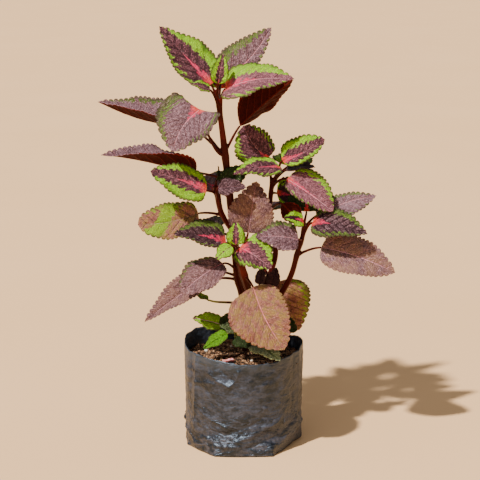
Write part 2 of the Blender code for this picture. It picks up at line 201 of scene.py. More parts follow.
def end_tree(tree, geometry, material):
    """End a tree in smooth shading, real geometry instead of instances, and its material."""
    smooth = node(tree, "GeometryNodeSetShadeSmooth", Geometry=geometry)
    real = node(tree, "GeometryNodeRealizeInstances", Geometry=smooth)
    painted = node(tree, "GeometryNodeSetMaterial", Geometry=real, Material=material)
    plug(painted, tree.nodes.new("NodeGroupOutput").inputs[0])


def keep_made(piece):
    """Keep what a piece's modifiers make as its plain mesh, and take them off."""
    ready = piece.evaluated_get(bpy.context.evaluated_depsgraph_get())
    made = bpy.data.meshes.new_from_object(ready)
    piece.modifiers.clear()
    piece.data = made
    return piece


def run_tree(name, tree, values, mesh=None):
    """Run a tree with these input values, and keep what it makes as a plain mesh."""
    piece = add_object(name, mesh or bpy.data.meshes.new(name))
    modifier = set_up(piece.modifiers.new(tree.name, "NODES"), node_group=tree)
    for item in tree.interface.items_tree:
        if item.in_out == "INPUT" and item.name in values:
            value = values[item.name]
            modifier[item.identifier] = float(value) if item.socket_type.endswith("Float") else value
    return keep_made(piece)


print("helpers for trees ready")

# %% [markdown]
# ## The plant's plan
# Coleus leaves sit in pairs on square stems, each pair at a right angle to the one below. This plant
# has a tall stem with a short left branch, and a second stem that forks low down into a front, a
# right and a rear one. The first table says where the stems run. The second lists the leaves: where
# the blade starts and ends, how wide it is, which way its top faces, where its stalk leaves the stem,
# its finish, and how its bends and its markings differ from the usual ones.

# %% Where the stems run
STEMS = {
    "tall": [(4, 107, 8, 4.9), (0, 147, 4, 4.6), (-5, 169, 3, 4.3), (-10.5, 224, 0, 3.9),
             (-18, 293, -2, 3.4), (-23.5, 335, -4, 2.2), (-27, 351, -5, 1.4)],
    "left": [(-10, 212, 0, 2.6), (-21, 230, -7, 2.3), (-28, 257, -13, 1.6)],
    "fork": [(20, 107, -2, 4.6), (19, 123, -3, 4.3), (17, 129, -4, 3.8)],
    "front": [(19, 118, -3, 3.4), (6, 151, -12, 3.4), (-2, 178, -17, 3.6), (-6, 195, -20, 2.4)],
    "right": [(19, 118, -3, 3.3), (39, 152, -7, 3.0), (48, 170, -9, 2.8), (54, 193, -11, 2.6),
              (58, 206, -11, 2.2), (60, 223, -10, 1.6)],
    "rear": [(19, 118, -3, 3.3), (20, 150, 5, 3.0), (28, 173, 10, 2.9), (32, 193, 12, 2.7),
             (27, 221, 11, 2.4), (28, 257, 8, 2.2), (37, 272, 4, 1.6)],
}
STEM_PIECES = {"stem_tall": ["tall", "left"], "stem_forked": ["fork", "front", "right", "rear"]}
STANDING = ["tall", "fork"]
SOIL_TOP = 88.0
STEM_FOOT = SOIL_TOP - 30.0
STEM_STRAIGHT_TO = SOIL_TOP + 2.6


def smooth_path(points, steps):
    """Run a smooth curve through the points, which may carry a radius as a fourth number."""
    ends = [points[0] * 2 - points[1]] + points + [points[-1] * 2 - points[-2]]
    path = []
    for i in range(1, len(ends) - 2):
        p0, p1, p2, p3 = ends[i - 1:i + 3]
        for k in range(steps):
            t = k / steps
            path.append(0.5 * (2 * p1 + (p2 - p0) * t + (2 * p0 - 5 * p1 + 4 * p2 - p3) * t ** 2
                               + (3 * p1 - p0 - 3 * p2 + p3) * t ** 3))
    return path + [points[-1]]


def stem_points(name, steps):
    """A stem's path in space with its radius as a fourth number, with a straight foot in the soil."""
    points = [Vector((*seen(*row[:3]), row[3])) for row in STEMS[name]]
    if name not in STANDING:
        return smooth_path(points, steps)
    foot = points[0].copy()
    foot.z = STEM_STRAIGHT_TO
    deep = points[0].copy()
    deep.z = STEM_FOOT
    return [deep] + smooth_path([foot] + points, steps)


def point_on_stem(name, up):
    """The spot on a stem's centre line that is seen at a height on the upright plane."""
    path = [p.to_3d() for p in stem_points(name, 2)]
    heights = [EYE.z + (p.z - EYE.z) * EYE.y / (EYE.y - p.y) for p in path]
    for k in range(len(path) - 1):
        if heights[k] <= up <= heights[k + 1]:
            return path[k].lerp(path[k + 1], (up - heights[k]) / (heights[k + 1] - heights[k]))
    return path[-1]


print("stems:", {name: len(points) for name, points in STEMS.items()})

# %% A leaf's own axes
# Arch, peak and bend curve the blade upwards and sideways. Fold and twist are in degrees, and cup turns
# the margins down. Lobe, round, taper and skew make the outline, and knee and rise lead the stalk.
# Green is the width of the margin on the left and on the right, pink the length of the star along the
# midrib and star its reach along the side veins, and patch the place of a green patch along the blade.
# Pale makes a leaf's body paler and shows its pale veins. Beside the leaf's own tone, it carries painted
# shade on some leaves and painted light on others.
TRAITS = {
    "arch": 0.08, "peak": 0.9, "bend": 0.0, "fold": 12.0, "cup": -0.10, "twist": 0.0, "lobe": 0.07,
    "round": 0.55, "taper": 1.15, "skew": 0.0, "knee": 0.6, "rise": 0.08,
    "green": (0.0, 0.0), "pale": 0.2, "pink": 0.0, "star": 0.0, "old": 0.0, "patch": 0.0,
}
STALK_STEPS = 12
FIRST_HANDLE = 0.35
LAST_HANDLE = 0.3


class Leaf:
    """A leaf's measurements, its axes and its stalk."""

    def __init__(self, name, base, tip, width, facing, root, finish, **traits):
        self.name = name
        self.base = seen(*base)
        self.width = width
        self.root = root
        self.finish = finish
        self.traits = {**TRAITS, **traits}
        along = seen(*tip) - self.base
        self.length = along.length
        self.along = along.normalized()
        azimuth, elevation = (math.radians(a) for a in facing)
        face = Vector((math.cos(elevation) * math.cos(azimuth),
                       math.cos(elevation) * math.sin(azimuth), math.sin(elevation)))
        self.across = self.along.cross(face).normalized()
        self.normal = self.across.cross(self.along)

    def placing(self):
        """The matrix that takes the blade from its own axes in millimetres to its place in metres."""
        columns = Matrix((self.across, self.along, self.normal)).transposed().to_4x4()
        return Matrix.Scale(MM, 4) @ Matrix.Translation(self.base) @ columns

    def stalk(self):
        """Points of the stalk's centre line, from inside the stem to the start of the blade."""
        bend, arch, knee, rise = (self.traits[key] for key in ("bend", "arch", "knee", "rise"))
        root = point_on_stem(*self.root)
        straight = self.base - root
        reach = straight.length
        straight.normalize()
        blade_start = self.along + self.across * math.pi * bend + self.normal * math.pi * arch
        end_way = blade_start.normalized().lerp(straight, 1 - knee).normalized()
        first = root + straight * reach * FIRST_HANDLE + Vector((0, 0, reach * rise))
        last = self.base - end_way * reach * LAST_HANDLE
        path = []
        for k in range(STALK_STEPS + 1):
            t = k / STALK_STEPS
            path.append(root * (1 - t) ** 3 + first * 3 * t * (1 - t) ** 2
                        + last * 3 * t * t * (1 - t) + self.base * t ** 3)
        return path


print("usual traits of a leaf:", ", ".join(TRAITS))

# %% The table of leaves
# Name, base, tip, width, the way the top faces (azimuth and elevation), stem and height of the stalk's
# root, finish, and the traits that differ from the usual ones.
# Painted shade: right_shaded, right_rear, right_bright, right_marked, front_left, soil_front_left,
# fork_dark and fork_side have a low pale because they lie partly or wholly in shade. Painted light:
# soil_pale, soil_left and soil_yellow have a high pale because other leaves shade them here.
leaves = [
    Leaf("crown_left", (-31, 356, -6), (-80, 412, 14), 45, (-62, 30), ("tall", 338), "lime", arch=0.02,
         bend=-0.02, skew=0.12, green=(0.16, 0.5), pink=0.56, star=6, pale=0.12),
    Leaf("crown_back", (-20, 358, 8), (27, 411, 26), 34, (-90, 30), ("tall", 340), "plum", arch=0.02,
         bend=0.07, skew=-0.4, green=(0.42, 0.15), pale=0.6, pink=0.5, star=3),
    Leaf("crown_right", (-17, 352, -9), (49, 362, -24), 50, (-92, 58), ("tall", 325), "lime", lobe=0.14,
         green=(0.6, 0.12), pale=0.7, pink=0.6, star=12),
    Leaf("crown_bud", (-24, 357, -14), (-19, 386, -12), 17, (-90, 10), ("tall", 345), "lime", fold=20,
         green=(0.55, 0.5), pink=0.15),
    Leaf("crown_small", (-32, 351, -18), (-51, 357, -24), 13, (-95, 50), ("tall", 334), "lime",
         green=(0.2, 0.5)),
    Leaf("upper_right", (-3, 316, 4), (48, 361, 2), 48, (115, 25), ("tall", 291), "plum", fold=35,
         arch=0.02, round=0.95, lobe=0.02, rise=-0.05, green=(0.15, 0.15)),
    Leaf("upper_front", (-42, 332, -20), (-69, 291, -40), 58, (-105, 30), ("tall", 289), "plum",
         round=0.45, lobe=0.22, skew=0.06, bend=0.06, taper=0.9, knee=-0.35, rise=-0.42,
         green=(0.12, 0.3), pale=0.55, pink=0.4, star=9),
    Leaf("upper_left", (-55, 317, 2), (-140, 340, -6), 46, (-88, 60), ("tall", 289), "plum", fold=58,
         arch=-0.08, cup=0, rise=-0.05, green=(0, 0.22), pale=1.35),
    Leaf("folded_left", (-46, 271, 2), (-138, 288, -14), 39, (90, 82), ("tall", 262), "plum", fold=45,
         arch=0.02, peak=1.6, cup=0, twist=60, pale=0.8),
    Leaf("side_edge", (-26, 263, -10), (-24, 277, -6), 12, (-10, 10), ("left", 250), "green", pale=-0.5),
    Leaf("side_green", (-21, 258, -10), (7, 277, -7), 20, (-90, 20), ("left", 234), "green", pale=-0.5),
    Leaf("side_purple", (-24, 255, -21), (3, 256, -26), 18, (-90, 40), ("left", 240), "plum", pale=0.1),
    Leaf("branch_left", (-36, 253, -22), (-90, 272, -34), 38, (-100, 45), ("left", 250), "lime",
         skew=-0.12, taper=0.9, arch=0.04, green=(0.5, 0.45), pink=0.6, star=7, pale=0.25),
    Leaf("branch_low", (-44, 230, -10), (-103, 219, -20), 36, (-95, 30), ("left", 228), "old",
         bend=-0.06, arch=0.02, taper=0.65, green=(0.04, 0.2), old=1.3, patch=0.6),
    Leaf("front_left", (-17, 201, -28), (-68, 210, -42), 32, (-95, 50), ("front", 190), "plum", skew=0.2,
         green=(0.12, 0.42), pink=0.6, star=7, pale=-0.2),
    Leaf("front_upright", (-7, 199, -30), (-7, 222, -28), 18, (-90, 15), ("front", 193), "lime",
         green=(0.6, 0.62), pink=0.3),
    Leaf("front_small", (-11, 197, -46), (-27, 184, -52), 16, (-95, 45), ("front", 191), "lime", lobe=0,
         green=(1.0, 1.0)),
    Leaf("front_right", (-3, 196, -31), (28, 175, -46), 41, (-90, 48), ("front", 190), "lime",
         skew=-0.15, green=(0.5, 0.2), pink=0.42, star=10, pale=0.35),
    Leaf("middle_upright", (5, 211, -12), (13, 262, -6), 43, (-90, 12), ("front", 182), "plum",
         pale=0.35, old=0.6),
    Leaf("middle_right", (54, 204, -22), (12, 207, -30), 33, (-88, 45), ("right", 203), "plum",
         green=(0, 0.28), pale=0.5),
    Leaf("rear_right", (38.5, 282, -5), (79, 303, -9), 28, (-88, 40), ("rear", 268), "lime", arch=0,
         bend=0.05, taper=0.85, lobe=0.06, skew=-0.27, green=(0.5, 0.35), pink=0.5, star=4),
    Leaf("rear_back", (23, 284, 8), (0, 316, 12), 38, (-80, 20), ("rear", 256), "lime", bend=-0.07,
         taper=0.8, skew=-0.1, arch=0.03, green=(0.25, 0.15), pink=0.3, pale=0.25, star=4),
    Leaf("rear_left", (36, 275, -6), (-10, 269, -24), 31, (-90, 62), ("rear", 262), "lime",
         green=(0.15, 0.5), pink=0.5, star=3),
    Leaf("rear_low", (43, 264, -8), (88, 232, -20), 38, (-70, 40), ("rear", 257), "lime", skew=-0.3,
         arch=0.03, taper=0.9, green=(0.3, 0.06), pale=0.75, pink=0.75, star=4),
    Leaf("rear_edge", (42, 273, 4), (70, 276, 0), 24, (-90, 78), ("rear", 262), "plum", pale=-1),
    Leaf("right_back", (72, 228, 2), (130, 248, 8), 33, (-85, 50), ("right", 214), "plum", skew=0.3,
         green=(0.3, 0.05), pale=0.7),
    Leaf("right_marked", (68, 221, -17), (122, 210, -32), 37, (-88, 50), ("right", 204), "plum",
         green=(0.4, 0.22), pale=0.0, pink=0.35, star=7),
    Leaf("right_low", (77, 196, -14), (150, 171, -24), 43, (-85, 40), ("right", 188), "plum", skew=0.04,
         taper=0.95, pale=0.85, old=0.6),
    Leaf("right_dark", (38, 240, -4), (56, 219, -6), 20, (80, 10), ("rear", 234), "plum", lobe=0,
         round=0.9, knee=0.3, pale=-1),
    Leaf("right_bright", (59, 222, -19), (40, 226, -26), 18, (-95, 45), ("right", 213), "lime",
         green=(0.62, 0.62), pale=-1.2, pink=0.5, star=4),
    Leaf("right_shaded", (62, 232, 2), (63, 265, 9), 36, (-90, 20), ("right", 218), "green", pink=0.4,
         pale=-1.4, star=3),
    Leaf("right_curl", (46, 213, -3), (40, 220, -3), 6, (-90, 50), ("right", 200), "green", pale=-0.5),
    Leaf("low_left", (-20, 180, -18), (-61, 150, -38), 37, (-110, 40), ("tall", 172), "plum", taper=0.8,
         round=0.7, green=(0, 0.16), pale=0.5, pink=0.22, old=0.3),
    Leaf("low_left_long", (-25, 171, 2), (-98, 121, -14), 34, (-110, 40), ("tall", 166), "plum", fold=30,
         arch=0.05, pale=0.5, old=0.5),
    Leaf("low_front", (10, 156, -30), (41, 92, -66), 57, (-92, 28), ("front", 168), "old", bend=0.05,
         skew=0.16, taper=0.85, lobe=0.03, old=0.95, pale=0.42, pink=0.9),
    Leaf("low_olive", (34, 161, 22), (56, 112, 29), 50, (-85, 5), ("rear", 150), "old", fold=0, lobe=0,
         old=1.3, green=(0.25, 0.2), pale=0.1),
    Leaf("low_green", (38, 119, 6), (54, 112, 3), 17, (-85, 20), ("fork", 112), "green", lobe=0,
         pale=-0.5),
    Leaf("soil_pale", (12, 97, -32), (37, 81, -60), 25, (-90, 68), ("fork", 109), "green", pale=1.8),
    Leaf("soil_left", (-21, 118, -8), (-50, 125, -12), 20, (-95, 50), ("tall", 109), "lime", arch=0.03,
         green=(1.2, 1.2), pale=1.0),
    Leaf("soil_upright", (-19, 117, -13), (-15, 130, -12), 11, (-90, 10), ("tall", 107), "green",
         pale=-0.5),
    Leaf("soil_grey", (-9, 111, -22), (-23, 117, -26), 13, (-90, 60), ("tall", 105), "green"),
    Leaf("soil_front_left", (-16, 109, -28), (-40, 93, -30), 15, (-95, 50), ("tall", 100), "green",
         arch=0.03, rise=-0.05, green=(1.0, 1.0), pale=-1.1),
    Leaf("soil_dark", (-7, 105, -24), (8, 95, -32), 19, (-90, 50), ("tall", 100), "green", pale=-0.5),
    Leaf("soil_yellow", (-34, 143, 2), (-53, 150, -2), 12, (-90, 75), ("tall", 138), "lime",
         green=(1.1, 1.1), pale=0.7),
    Leaf("fork_dark", (16, 159, -8), (19, 178, -5), 10, (-90, 10), ("rear", 140), "plum", pale=-1),
    Leaf("fork_side", (28, 158, -3), (33, 176, -2), 13, (-90, 10), ("rear", 142), "plum", pale=-1),
    Leaf("crown_rear", (-22, 352, 20), (-20, 382, 64), 38, (-90, 62), ("tall", 336), "lime",
         green=(0.4, 0.35), pink=0.5, star=6),
    Leaf("upper_rear", (-38, 312, 16), (-54, 320, 66), 36, (-100, 75), ("tall", 286), "plum", rise=-0.05,
         green=(0.2, 0.15), pale=0.4, pink=0.3),
    Leaf("side_rear", (-26, 253, 18), (-50, 264, 66), 44, (-110, 70), ("tall", 245), "plum",
         green=(0.2, 0.2), pale=0.4, pink=0.4, star=5),
    Leaf("middle_rear", (16, 232, 34), (22, 240, 84), 44, (-80, 72), ("rear", 216), "plum",
         green=(0.15, 0.2), pale=0.3, pink=0.3),
    Leaf("right_rear", (33, 250, 17), (66, 241, 42), 36, (-92, 32), ("rear", 250), "lime",
         green=(0.35, 0.35), pale=-1.4, pink=0.4, star=4),
    Leaf("low_rear", (14, 186, 34), (6, 192, 84), 40, (-95, 74), ("rear", 166), "old", old=0.7, pale=0.4,
         pink=0.4),
    Leaf("rear_far", (44, 277, 14), (54, 284, 60), 38, (-80, 72), ("rear", 266), "lime",
         green=(0.4, 0.4), pink=0.5, star=6),
    Leaf("branch_rear", (-30, 213, 16), (-48, 221, 62), 36, (-105, 74), ("tall", 206), "plum",
         green=(0.15, 0.2), pale=0.4, pink=0.2),
    Leaf("low_left_rear", (-34, 166, 18), (-54, 163, 62), 36, (-110, 74), ("tall", 163), "old", old=0.5,
         pale=0.5),
]
longest = max(leaves, key=lambda leaf: leaf.length)
print("leaves:", len(leaves), "and the longest blade:", longest.name, round(longest.length), "mm")

# %% [markdown]
# ## The leaf blade
# A coleus blade is an egg shape with rounded teeth, and between its side veins the surface swells up
# like a quilt. That is a rule with a few numbers, so one Geometry Nodes tree makes every blade: it
# bends a flat grid whose rows run from base to tip. The tree also stores where each point lies on
# the blade, because the markings of the finish follow the veins and not the room.

# %% The tree of the blade
ROW_SPACING = 1.35
VEIN_PAIRS = 7
VEIN_STAGGER = 0.12
VEIN_SLANT = 0.9
VEIN_CURVE = 0.7
SEED_STRIDE = 10
RIB_DEPTH = 0.4
RIPPLE = 0.7
MARGIN_WAVE = 1.2


def blade_tree():
    """Bend a grid into a scalloped, quilted blade in its own axes, in millimetres."""
    tree, given = start_tree(
        "leaf_blade",
        ("Length", "Width", "Round", "Taper", "Skew", "Lobe", "Fold", "Cup", "Twist", "Arch", "Peak",
         "Bend", "Tooth", "Quilt", "Seed", "Green left", "Green right", "Pale", "Pink", "Star", "Old",
         "Patch"),
        ("Rows", "Columns", "Teeth"), ("Top",))
    shape = node(tree, "GeometryNodeMeshGrid", "Mesh", Vertices_X=given["Columns"],
                 Vertices_Y=given["Rows"])
    x, y, _ = parts_of(node(tree, "GeometryNodeInputPosition"))
    row = (y + 0.5).do("MAXIMUM", 0.0)
    s = x * 2
    side = s.do("SIGN")
    a = abs(s)
    t = row ** ROW_SPACING
    left = (1 - t).do("MAXIMUM", 0.0)

    widest = given["Round"] / (given["Round"] + given["Taper"])
    half = given["Width"] / 2 * (t / widest) ** given["Round"] * (left / (1 - widest)) ** given["Taper"]
    half = half * (1 + given["Skew"] * side)
    scallop = ((row * given["Teeth"]).do("FRACT") ** 0.8 * math.pi).do("SINE").do("MAXIMUM", 0.0) ** 0.6
    ends = ramp(row, 0.0, 0.12) * ramp(row, 1.0, 0.93)
    tooth = given["Tooth"] * given["Width"] * scallop * ends * ramp(a, 0.75, 1.0)
    d = a * half + tooth

    flat_x = side * d
    flat = vector_of(tree, flat_x, given["Length"] * t, given["Seed"] * SEED_STRIDE)
    r = d / given["Length"]
    course = t - r * VEIN_SLANT - r * r * VEIN_CURVE
    vein = course * VEIN_PAIRS + side * VEIN_STAGGER
    grain = vector_of(tree, d * 0.7, course * given["Length"], given["Seed"] * SEED_STRIDE + side)
    swell = (vein.do("FRACT") * math.pi).do("SINE") ** 0.7
    rumple = noise_field(flat, 0.06, 1.0) - 0.5
    ripple = noise_field(flat, 0.3, 1.0) - 0.5
    z = given["Quilt"] * (swell * ramp(d, 0.0, 3.0) * ramp(a, 1.0, 0.7) * ramp(t, 1.0, 0.8) - 0.5)
    z = z - ramp(d, 1.3, 0.0) * RIB_DEPTH + ripple * RIPPLE * ends
    z = z + rumple * a * half * 0.35

    fold = given["Fold"] * (math.pi / 180)
    z = z * ramp(row, 0.0, 0.06) + d * fold.do("SINE") + given["Cup"] * half * a * a
    z = z + (t * 4 * math.pi + side).do("SINE") * a * a * (t * math.pi).do("SINE") * MARGIN_WAVE
    across = flat_x * fold.do("COSINE")
    turn = given["Twist"] * (math.pi / 180) * t * t
    across, z = (across * turn.do("COSINE") - z * turn.do("SINE"),
                 across * turn.do("SINE") + z * turn.do("COSINE"))
    z = z + given["Arch"] * given["Length"] * (t ** given["Peak"] * math.pi).do("SINE")
    across = across + given["Bend"] * given["Length"] * (t * math.pi).do("SINE")
    back = ((t / 0.3).do("MINIMUM", 1.0) * math.pi).do("SINE") * a ** 1.5 * given["Lobe"]
    along = given["Length"] * (t - back) + tooth * 0.7

    spots = {"leaf_spot": vector_of(tree, s, t, vein), "leaf_flat": flat, "leaf_grain": grain,
             "leaf_green": vector_of(tree, given["Green left"], given["Green right"], given["Pale"]),
             "leaf_marks": vector_of(tree, given["Pink"], given["Star"], given["Old"]),
             "leaf_patch": vector_of(tree, given["Patch"], 0.0, 0.0)}
    for name, value in spots.items():
        shape = store(shape, "FLOAT_VECTOR", "POINT", name, value)
    shape = node(tree, "GeometryNodeSetPosition", Geometry=shape,
                 Position=vector_of(tree, across, along, z))
    closed = node(tree, "GeometryNodeMergeByDistance", Geometry=shape, Distance=0.01)
    end_tree(tree, closed, given["Top"])
    return tree


BLADE_TREE = blade_tree()
print("blade tree nodes:", len(BLADE_TREE.nodes))

# %% [markdown]
# ## Leaf finishes
# The colours of a coleus come from pigment that follows the veins. The middle is plum to mauve, a
# coral-pink star runs out from the stalk along the midrib, and chlorophyll is left over in a lime
# margin with a ragged inner edge. Old leaves fade to a brownish pink with olive blotches. One
# function paints all of this from the places that the blade tree stored, with different pigments
# for each finish. The underside is wine red on every leaf.

# %% Helpers for finishes
def start_finish(name, **sockets):
    """A material with these constant values on its shader, and its tree."""
    material = bpy.data.materials.new(name)
    material.use_nodes = True
    tree = material.node_tree
    for socket, value in sockets.items():
        tree.nodes["Principled BSDF"].inputs[socket.replace("_", " ")].default_value = value
    return material, tree


def end_finish(material, colour, roughness, normal=None):
    """Feed the shader its fields, and give the material."""
    shader = material.node_tree.nodes["Principled BSDF"]
    plug(colour, shader.inputs["Base Color"])
    plug(roughness, shader.inputs["Roughness"])
    if normal is not None:
        plug(normal, shader.inputs["Normal"])
    return material


def blend(low, high, share):
    """Mix two colours, which may be plain or fields, by a share that is a field."""
    low, high = (c if isinstance(c, Field) else (*c, 1) for c in (low, high))
    return node(share.socket.id_data, "ShaderNodeMix", 2, {"data_type": "RGBA"},
                _0=share, _6=low, _7=high)


def stored(tree, name):
    """Read a vector that a piece stores on its points."""
    return node(tree, "ShaderNodeAttribute", "Vector", {"attribute_name": name})


def bump(height, distance, strength=1.0, below=None):
    """Turn a height field into a tilted normal, on top of another one if it is given."""
    made = node(height.socket.id_data, "ShaderNodeBump", 0, Height=height, Distance=distance,
                Strength=strength)
    if below is not None:
        plug(below, made.socket.node.inputs["Normal"])
    return made


print("helpers for finishes ready")


# %% The finish of a leaf's upper face
PINK = (0.90, 0.045, 0.15)
CORAL = (0.90, 0.085, 0.04)
TOOTH_EDGE = (0.05, 0.032, 0.012)
PALE_VEIN = (0.80, 0.36, 0.42)
OLIVE = (0.44, 0.29, 0.07)
# a shade colour that is painted into the grooves of the net and along the side veins
GROOVE_SHADE = (0.020, 0.004, 0.006)


def leaf_finish(name, dark, light, aged, green_dark, green_light, mottle, vein_tone=PALE_VEIN):
    """Paint a leaf: body, quilted net with painted shade and sheen, green margin, pink star, pale veins
    and the marks of age.
    """
    material, tree = start_finish(name, Specular_IOR_Level=0.22)
    s, t, vein = parts_of(stored(tree, "leaf_spot"))
    flat = stored(tree, "leaf_flat")
    along_veins = stored(tree, "leaf_grain")
    x, _, _ = parts_of(flat)
    green_left, green_right, pale = parts_of(stored(tree, "leaf_green"))
    pink, star, old = parts_of(stored(tree, "leaf_marks"))
    off_rib = abs(x)
    a = abs(s)
    cloud = noise_field(flat, 0.11, 2.0)
    ragged = noise_field(flat, 0.42, 3.0)
    grain = noise_field(along_veins, 1.0, 3.0)
    net = ramp(cell_edges(along_veins, 0.6), 0.02, 0.32)
    fine_net = ramp(cell_edges(flat, 0.85), 0.0, 0.35)
    # the cell tops are paler and the net between them darker: partly the real vein net, and partly
    # painted sheen on the tops and painted shade in the grooves
    net_and_sheen = net * 0.5 + fine_net * 0.5
    speck = noise_field(flat, 0.9, 1.0) - 0.5
    near_vein = abs(vein.do("FRACT") - 0.5) * 2
    side_vein = ramp(near_vein, 0.84, 0.98) * ramp(a, 1.0, 0.7)

    # the mottled body, with painted shade in the grooves of its net and painted sheen on the cell tops,
    # and the tones and blotches of age
    groove_shade = ramp(near_vein, 0.55, 0.95) * (0.4 - old * 0.3).do("MAXIMUM", 0.05)
    # pale lifts or lowers the whole body: the leaf's own tone, and on some leaves painted shade, on
    # others painted light
    lit = (grain - 0.5) * 1.6 + (ragged - 0.5) + speck * 1.1 + cloud * 0.8
    lit = lit + pale * 0.75 + net_and_sheen * 0.5 - groove_shade - 0.45
    body = blend(dark, light, lit.do("MAXIMUM", 0.0).do("MINIMUM", 1.0))
    body = blend(body, aged, (old * ramp(cloud + grain * 0.3, 0.35, 0.75)).do("MINIMUM", 1.0))
    blotch = ramp(ragged * 0.6 + cloud * 0.6, 0.54, 0.68) * ramp(old, 0.4, 1.0)
    body = blend(body, OLIVE, blotch * 0.8)
    # painted shade: the body is darkened towards the shade colour in the net's grooves and, on darker
    # leaves, along the side veins
    body = blend(GROOVE_SHADE, body, net_and_sheen * 0.75 + 0.38 - side_vein * ramp(pale, 0.7, 0.1) * 0.55)

    # the green margin with its ragged inner edge, and the green patch of a half-faded leaf
    on_right = ramp(s, -0.01, 0.01)
    band = (green_left * (1 - on_right) + green_right * on_right) * ramp(t, 1.0, 0.78)
    rim = a + (ragged - 0.5) * 0.6 - (near_vein - 0.5) * 0.3 * a
    greened = ramp(rim - (1.02 - band), -0.05, 0.05) * ramp(band, 0.01, 0.05)
    greened = greened * (1 - ramp(ragged + grain, 1.2, 0.85) * mottle)
    patch, _, _ = parts_of(stored(tree, "leaf_patch"))
    off_patch = abs(t + s * 0.22 + (ragged - 0.5) * 0.25 - patch)
    greened = greened.do("MAXIMUM", ramp(off_patch, 0.16, 0.11) * ramp(patch, 0.01, 0.1))
    fresh = ramp(cloud * 0.8 + grain * 0.8 - ramp(a, 0.6, 1.0) * 0.25, 0.30, 0.70)
    # the green is paler on the cell tops, as painted sheen, and darker in the grooves, as painted shade
    green = blend(green_dark, green_light, fresh * (net_and_sheen * 0.75 + 0.30).do("MINIMUM", 1.0))
    green = blend(green, TOOTH_EDGE, ramp(a + (grain - 0.5) * 0.15, 0.86, 0.98) * 0.85)
    body = blend(body, green, greened)

    # the star: a coloured rib, and plumes that run out along the side veins
    fade = ramp(t, pink, pink * 0.5) * (ramp(star, 0.0, 4.0) * 0.8 + 0.2)
    rib = ramp(off_rib + (grain - 0.5) * 1.2, 0.7 + fade * 0.8, fade * 0.6) * ramp(t, pink, pink * 0.8)
    reach = star * ramp(t, pink * 0.95, 0.0) + 0.3
    feather = ramp(near_vein, 0.2, 0.7).do("MAXIMUM", ramp(t, 0.18, 0.05))
    plume = ramp(off_rib + (ragged - 0.5) * 5, reach * 1.05, reach * 0.5) * feather
    plume = plume * ramp(t, pink, pink * 0.7)
    pinked = rib.do("MAXIMUM", plume * ramp(star, 0.0, 1.0)) * ramp(pink, 0.02, 0.1)
    glow = blend(CORAL, PINK, ramp(t, 0.0, 0.20))
    # the star is a little darker in the grooves, as painted shade
    body = blend(body, glow, pinked * (net_and_sheen * 0.3 + 0.7))

    # fine veins, which show pale on the paler leaves only
    fine_rib = ramp(off_rib, 0.7, 0.2) * ramp(t, 0.97, 0.8)
    bright = pale.do("MINIMUM", 0.8) * 1.2
    body = blend(body, vein_tone, (fine_rib * bright).do("MAXIMUM", side_vein * bright * 0.4))
    veins = bump(fine_rib + side_vein, 0.0006, 0.8)
    veins.socket.node.invert = True
    relief = bump(net * 0.6 + fine_net * 0.5 + grain * 0.6, 0.0009, 0.9, veins)
    return end_finish(material, body, grain * 0.2 + 0.42, relief)


LEAF_FINISHES = {
    "lime": leaf_finish("lime_edged_leaf", (0.052, 0.012, 0.019), (0.54, 0.21, 0.265), (0.42, 0.2, 0.14),
                        (0.028, 0.13, 0.001), (0.45, 0.87, 0.0), 0.15),
    "plum": leaf_finish("plum_leaf", (0.060, 0.024, 0.031), (0.50, 0.29, 0.34), (0.42, 0.2, 0.14),
                        (0.020, 0.055, 0.003), (0.18, 0.32, 0.02), 0.55),
    "old": leaf_finish("faded_leaf", (0.20, 0.060, 0.045), (0.54, 0.25, 0.20), (0.50, 0.21, 0.15),
                       (0.09, 0.15, 0.006), (0.32, 0.52, 0.02), 0.4, (0.80, 0.48, 0.42)),
    "green": leaf_finish("green_leaf", (0.012, 0.050, 0.003), (0.46, 0.56, 0.28), (0.3, 0.3, 0.08),
                         (0.020, 0.090, 0.001), (0.15, 0.40, 0.0), 0.2, (0.30, 0.46, 0.10)),
}
print("leaf finishes:", ", ".join(LEAF_FINISHES))


# %% The finish of the underside
def underside_finish():
    """Wine red, with a darker net between raised paler veins."""
    material, tree = start_finish("wine_underside", Specular_IOR_Level=0.06)
    s, _, vein = parts_of(stored(tree, "leaf_spot"))
    flat = stored(tree, "leaf_flat")
    x, _, _ = parts_of(flat)
    near_vein = abs(vein.do("FRACT") - 0.5) * 2
    raised = ramp(near_vein, 0.8, 0.98).do("MAXIMUM", ramp(abs(x), 1.3, 0.4))
    cloud = noise_field(flat, 0.25, 3.0)
    body = blend((0.008, 0.0005, 0.0004), (0.06, 0.004, 0.0022), cloud)
    body = blend(body, (0.18, 0.022, 0.012), raised * 0.3)
    body = blend(body, (0.30, 0.02, 0.012), ramp(abs(s), 0.88, 1.0) * 0.6)
    fine_net = ramp(cell_edges(flat, 0.5), 0.0, 0.3)
    relief = bump(raised + fine_net * 0.3, 0.0005, 0.8)
    return end_finish(material, body, cloud * 0.2 + 0.55, relief)


UNDERSIDE = underside_finish()
print("underside finish:", UNDERSIDE.name)

# %% [markdown]
# ## Growing the blades
# Each row of the table now gives the tree its numbers. Long blades get more teeth and a finer grid
# than small ones, so that a tooth is about as long on all of them. Solidify gives the sheet its
# thickness and puts the wine-red finish on the back.

# %% Make every blade
TOOTH_LENGTH = 3.7
TOOTH_DEPTH = 1.7
LARGEST_TOOTH_SHARE = 0.05
FEWEST_TEETH = 5
ROWS_PER_TOOTH = 6
# the grid has four columns for each of these widths
FOUR_COLUMNS = 6.5
QUILT_HEIGHT = 0.8
WIDTH_PER_QUILT = 45
SEED_STEP = 7.3
BLADE_THICKNESS = 0.5


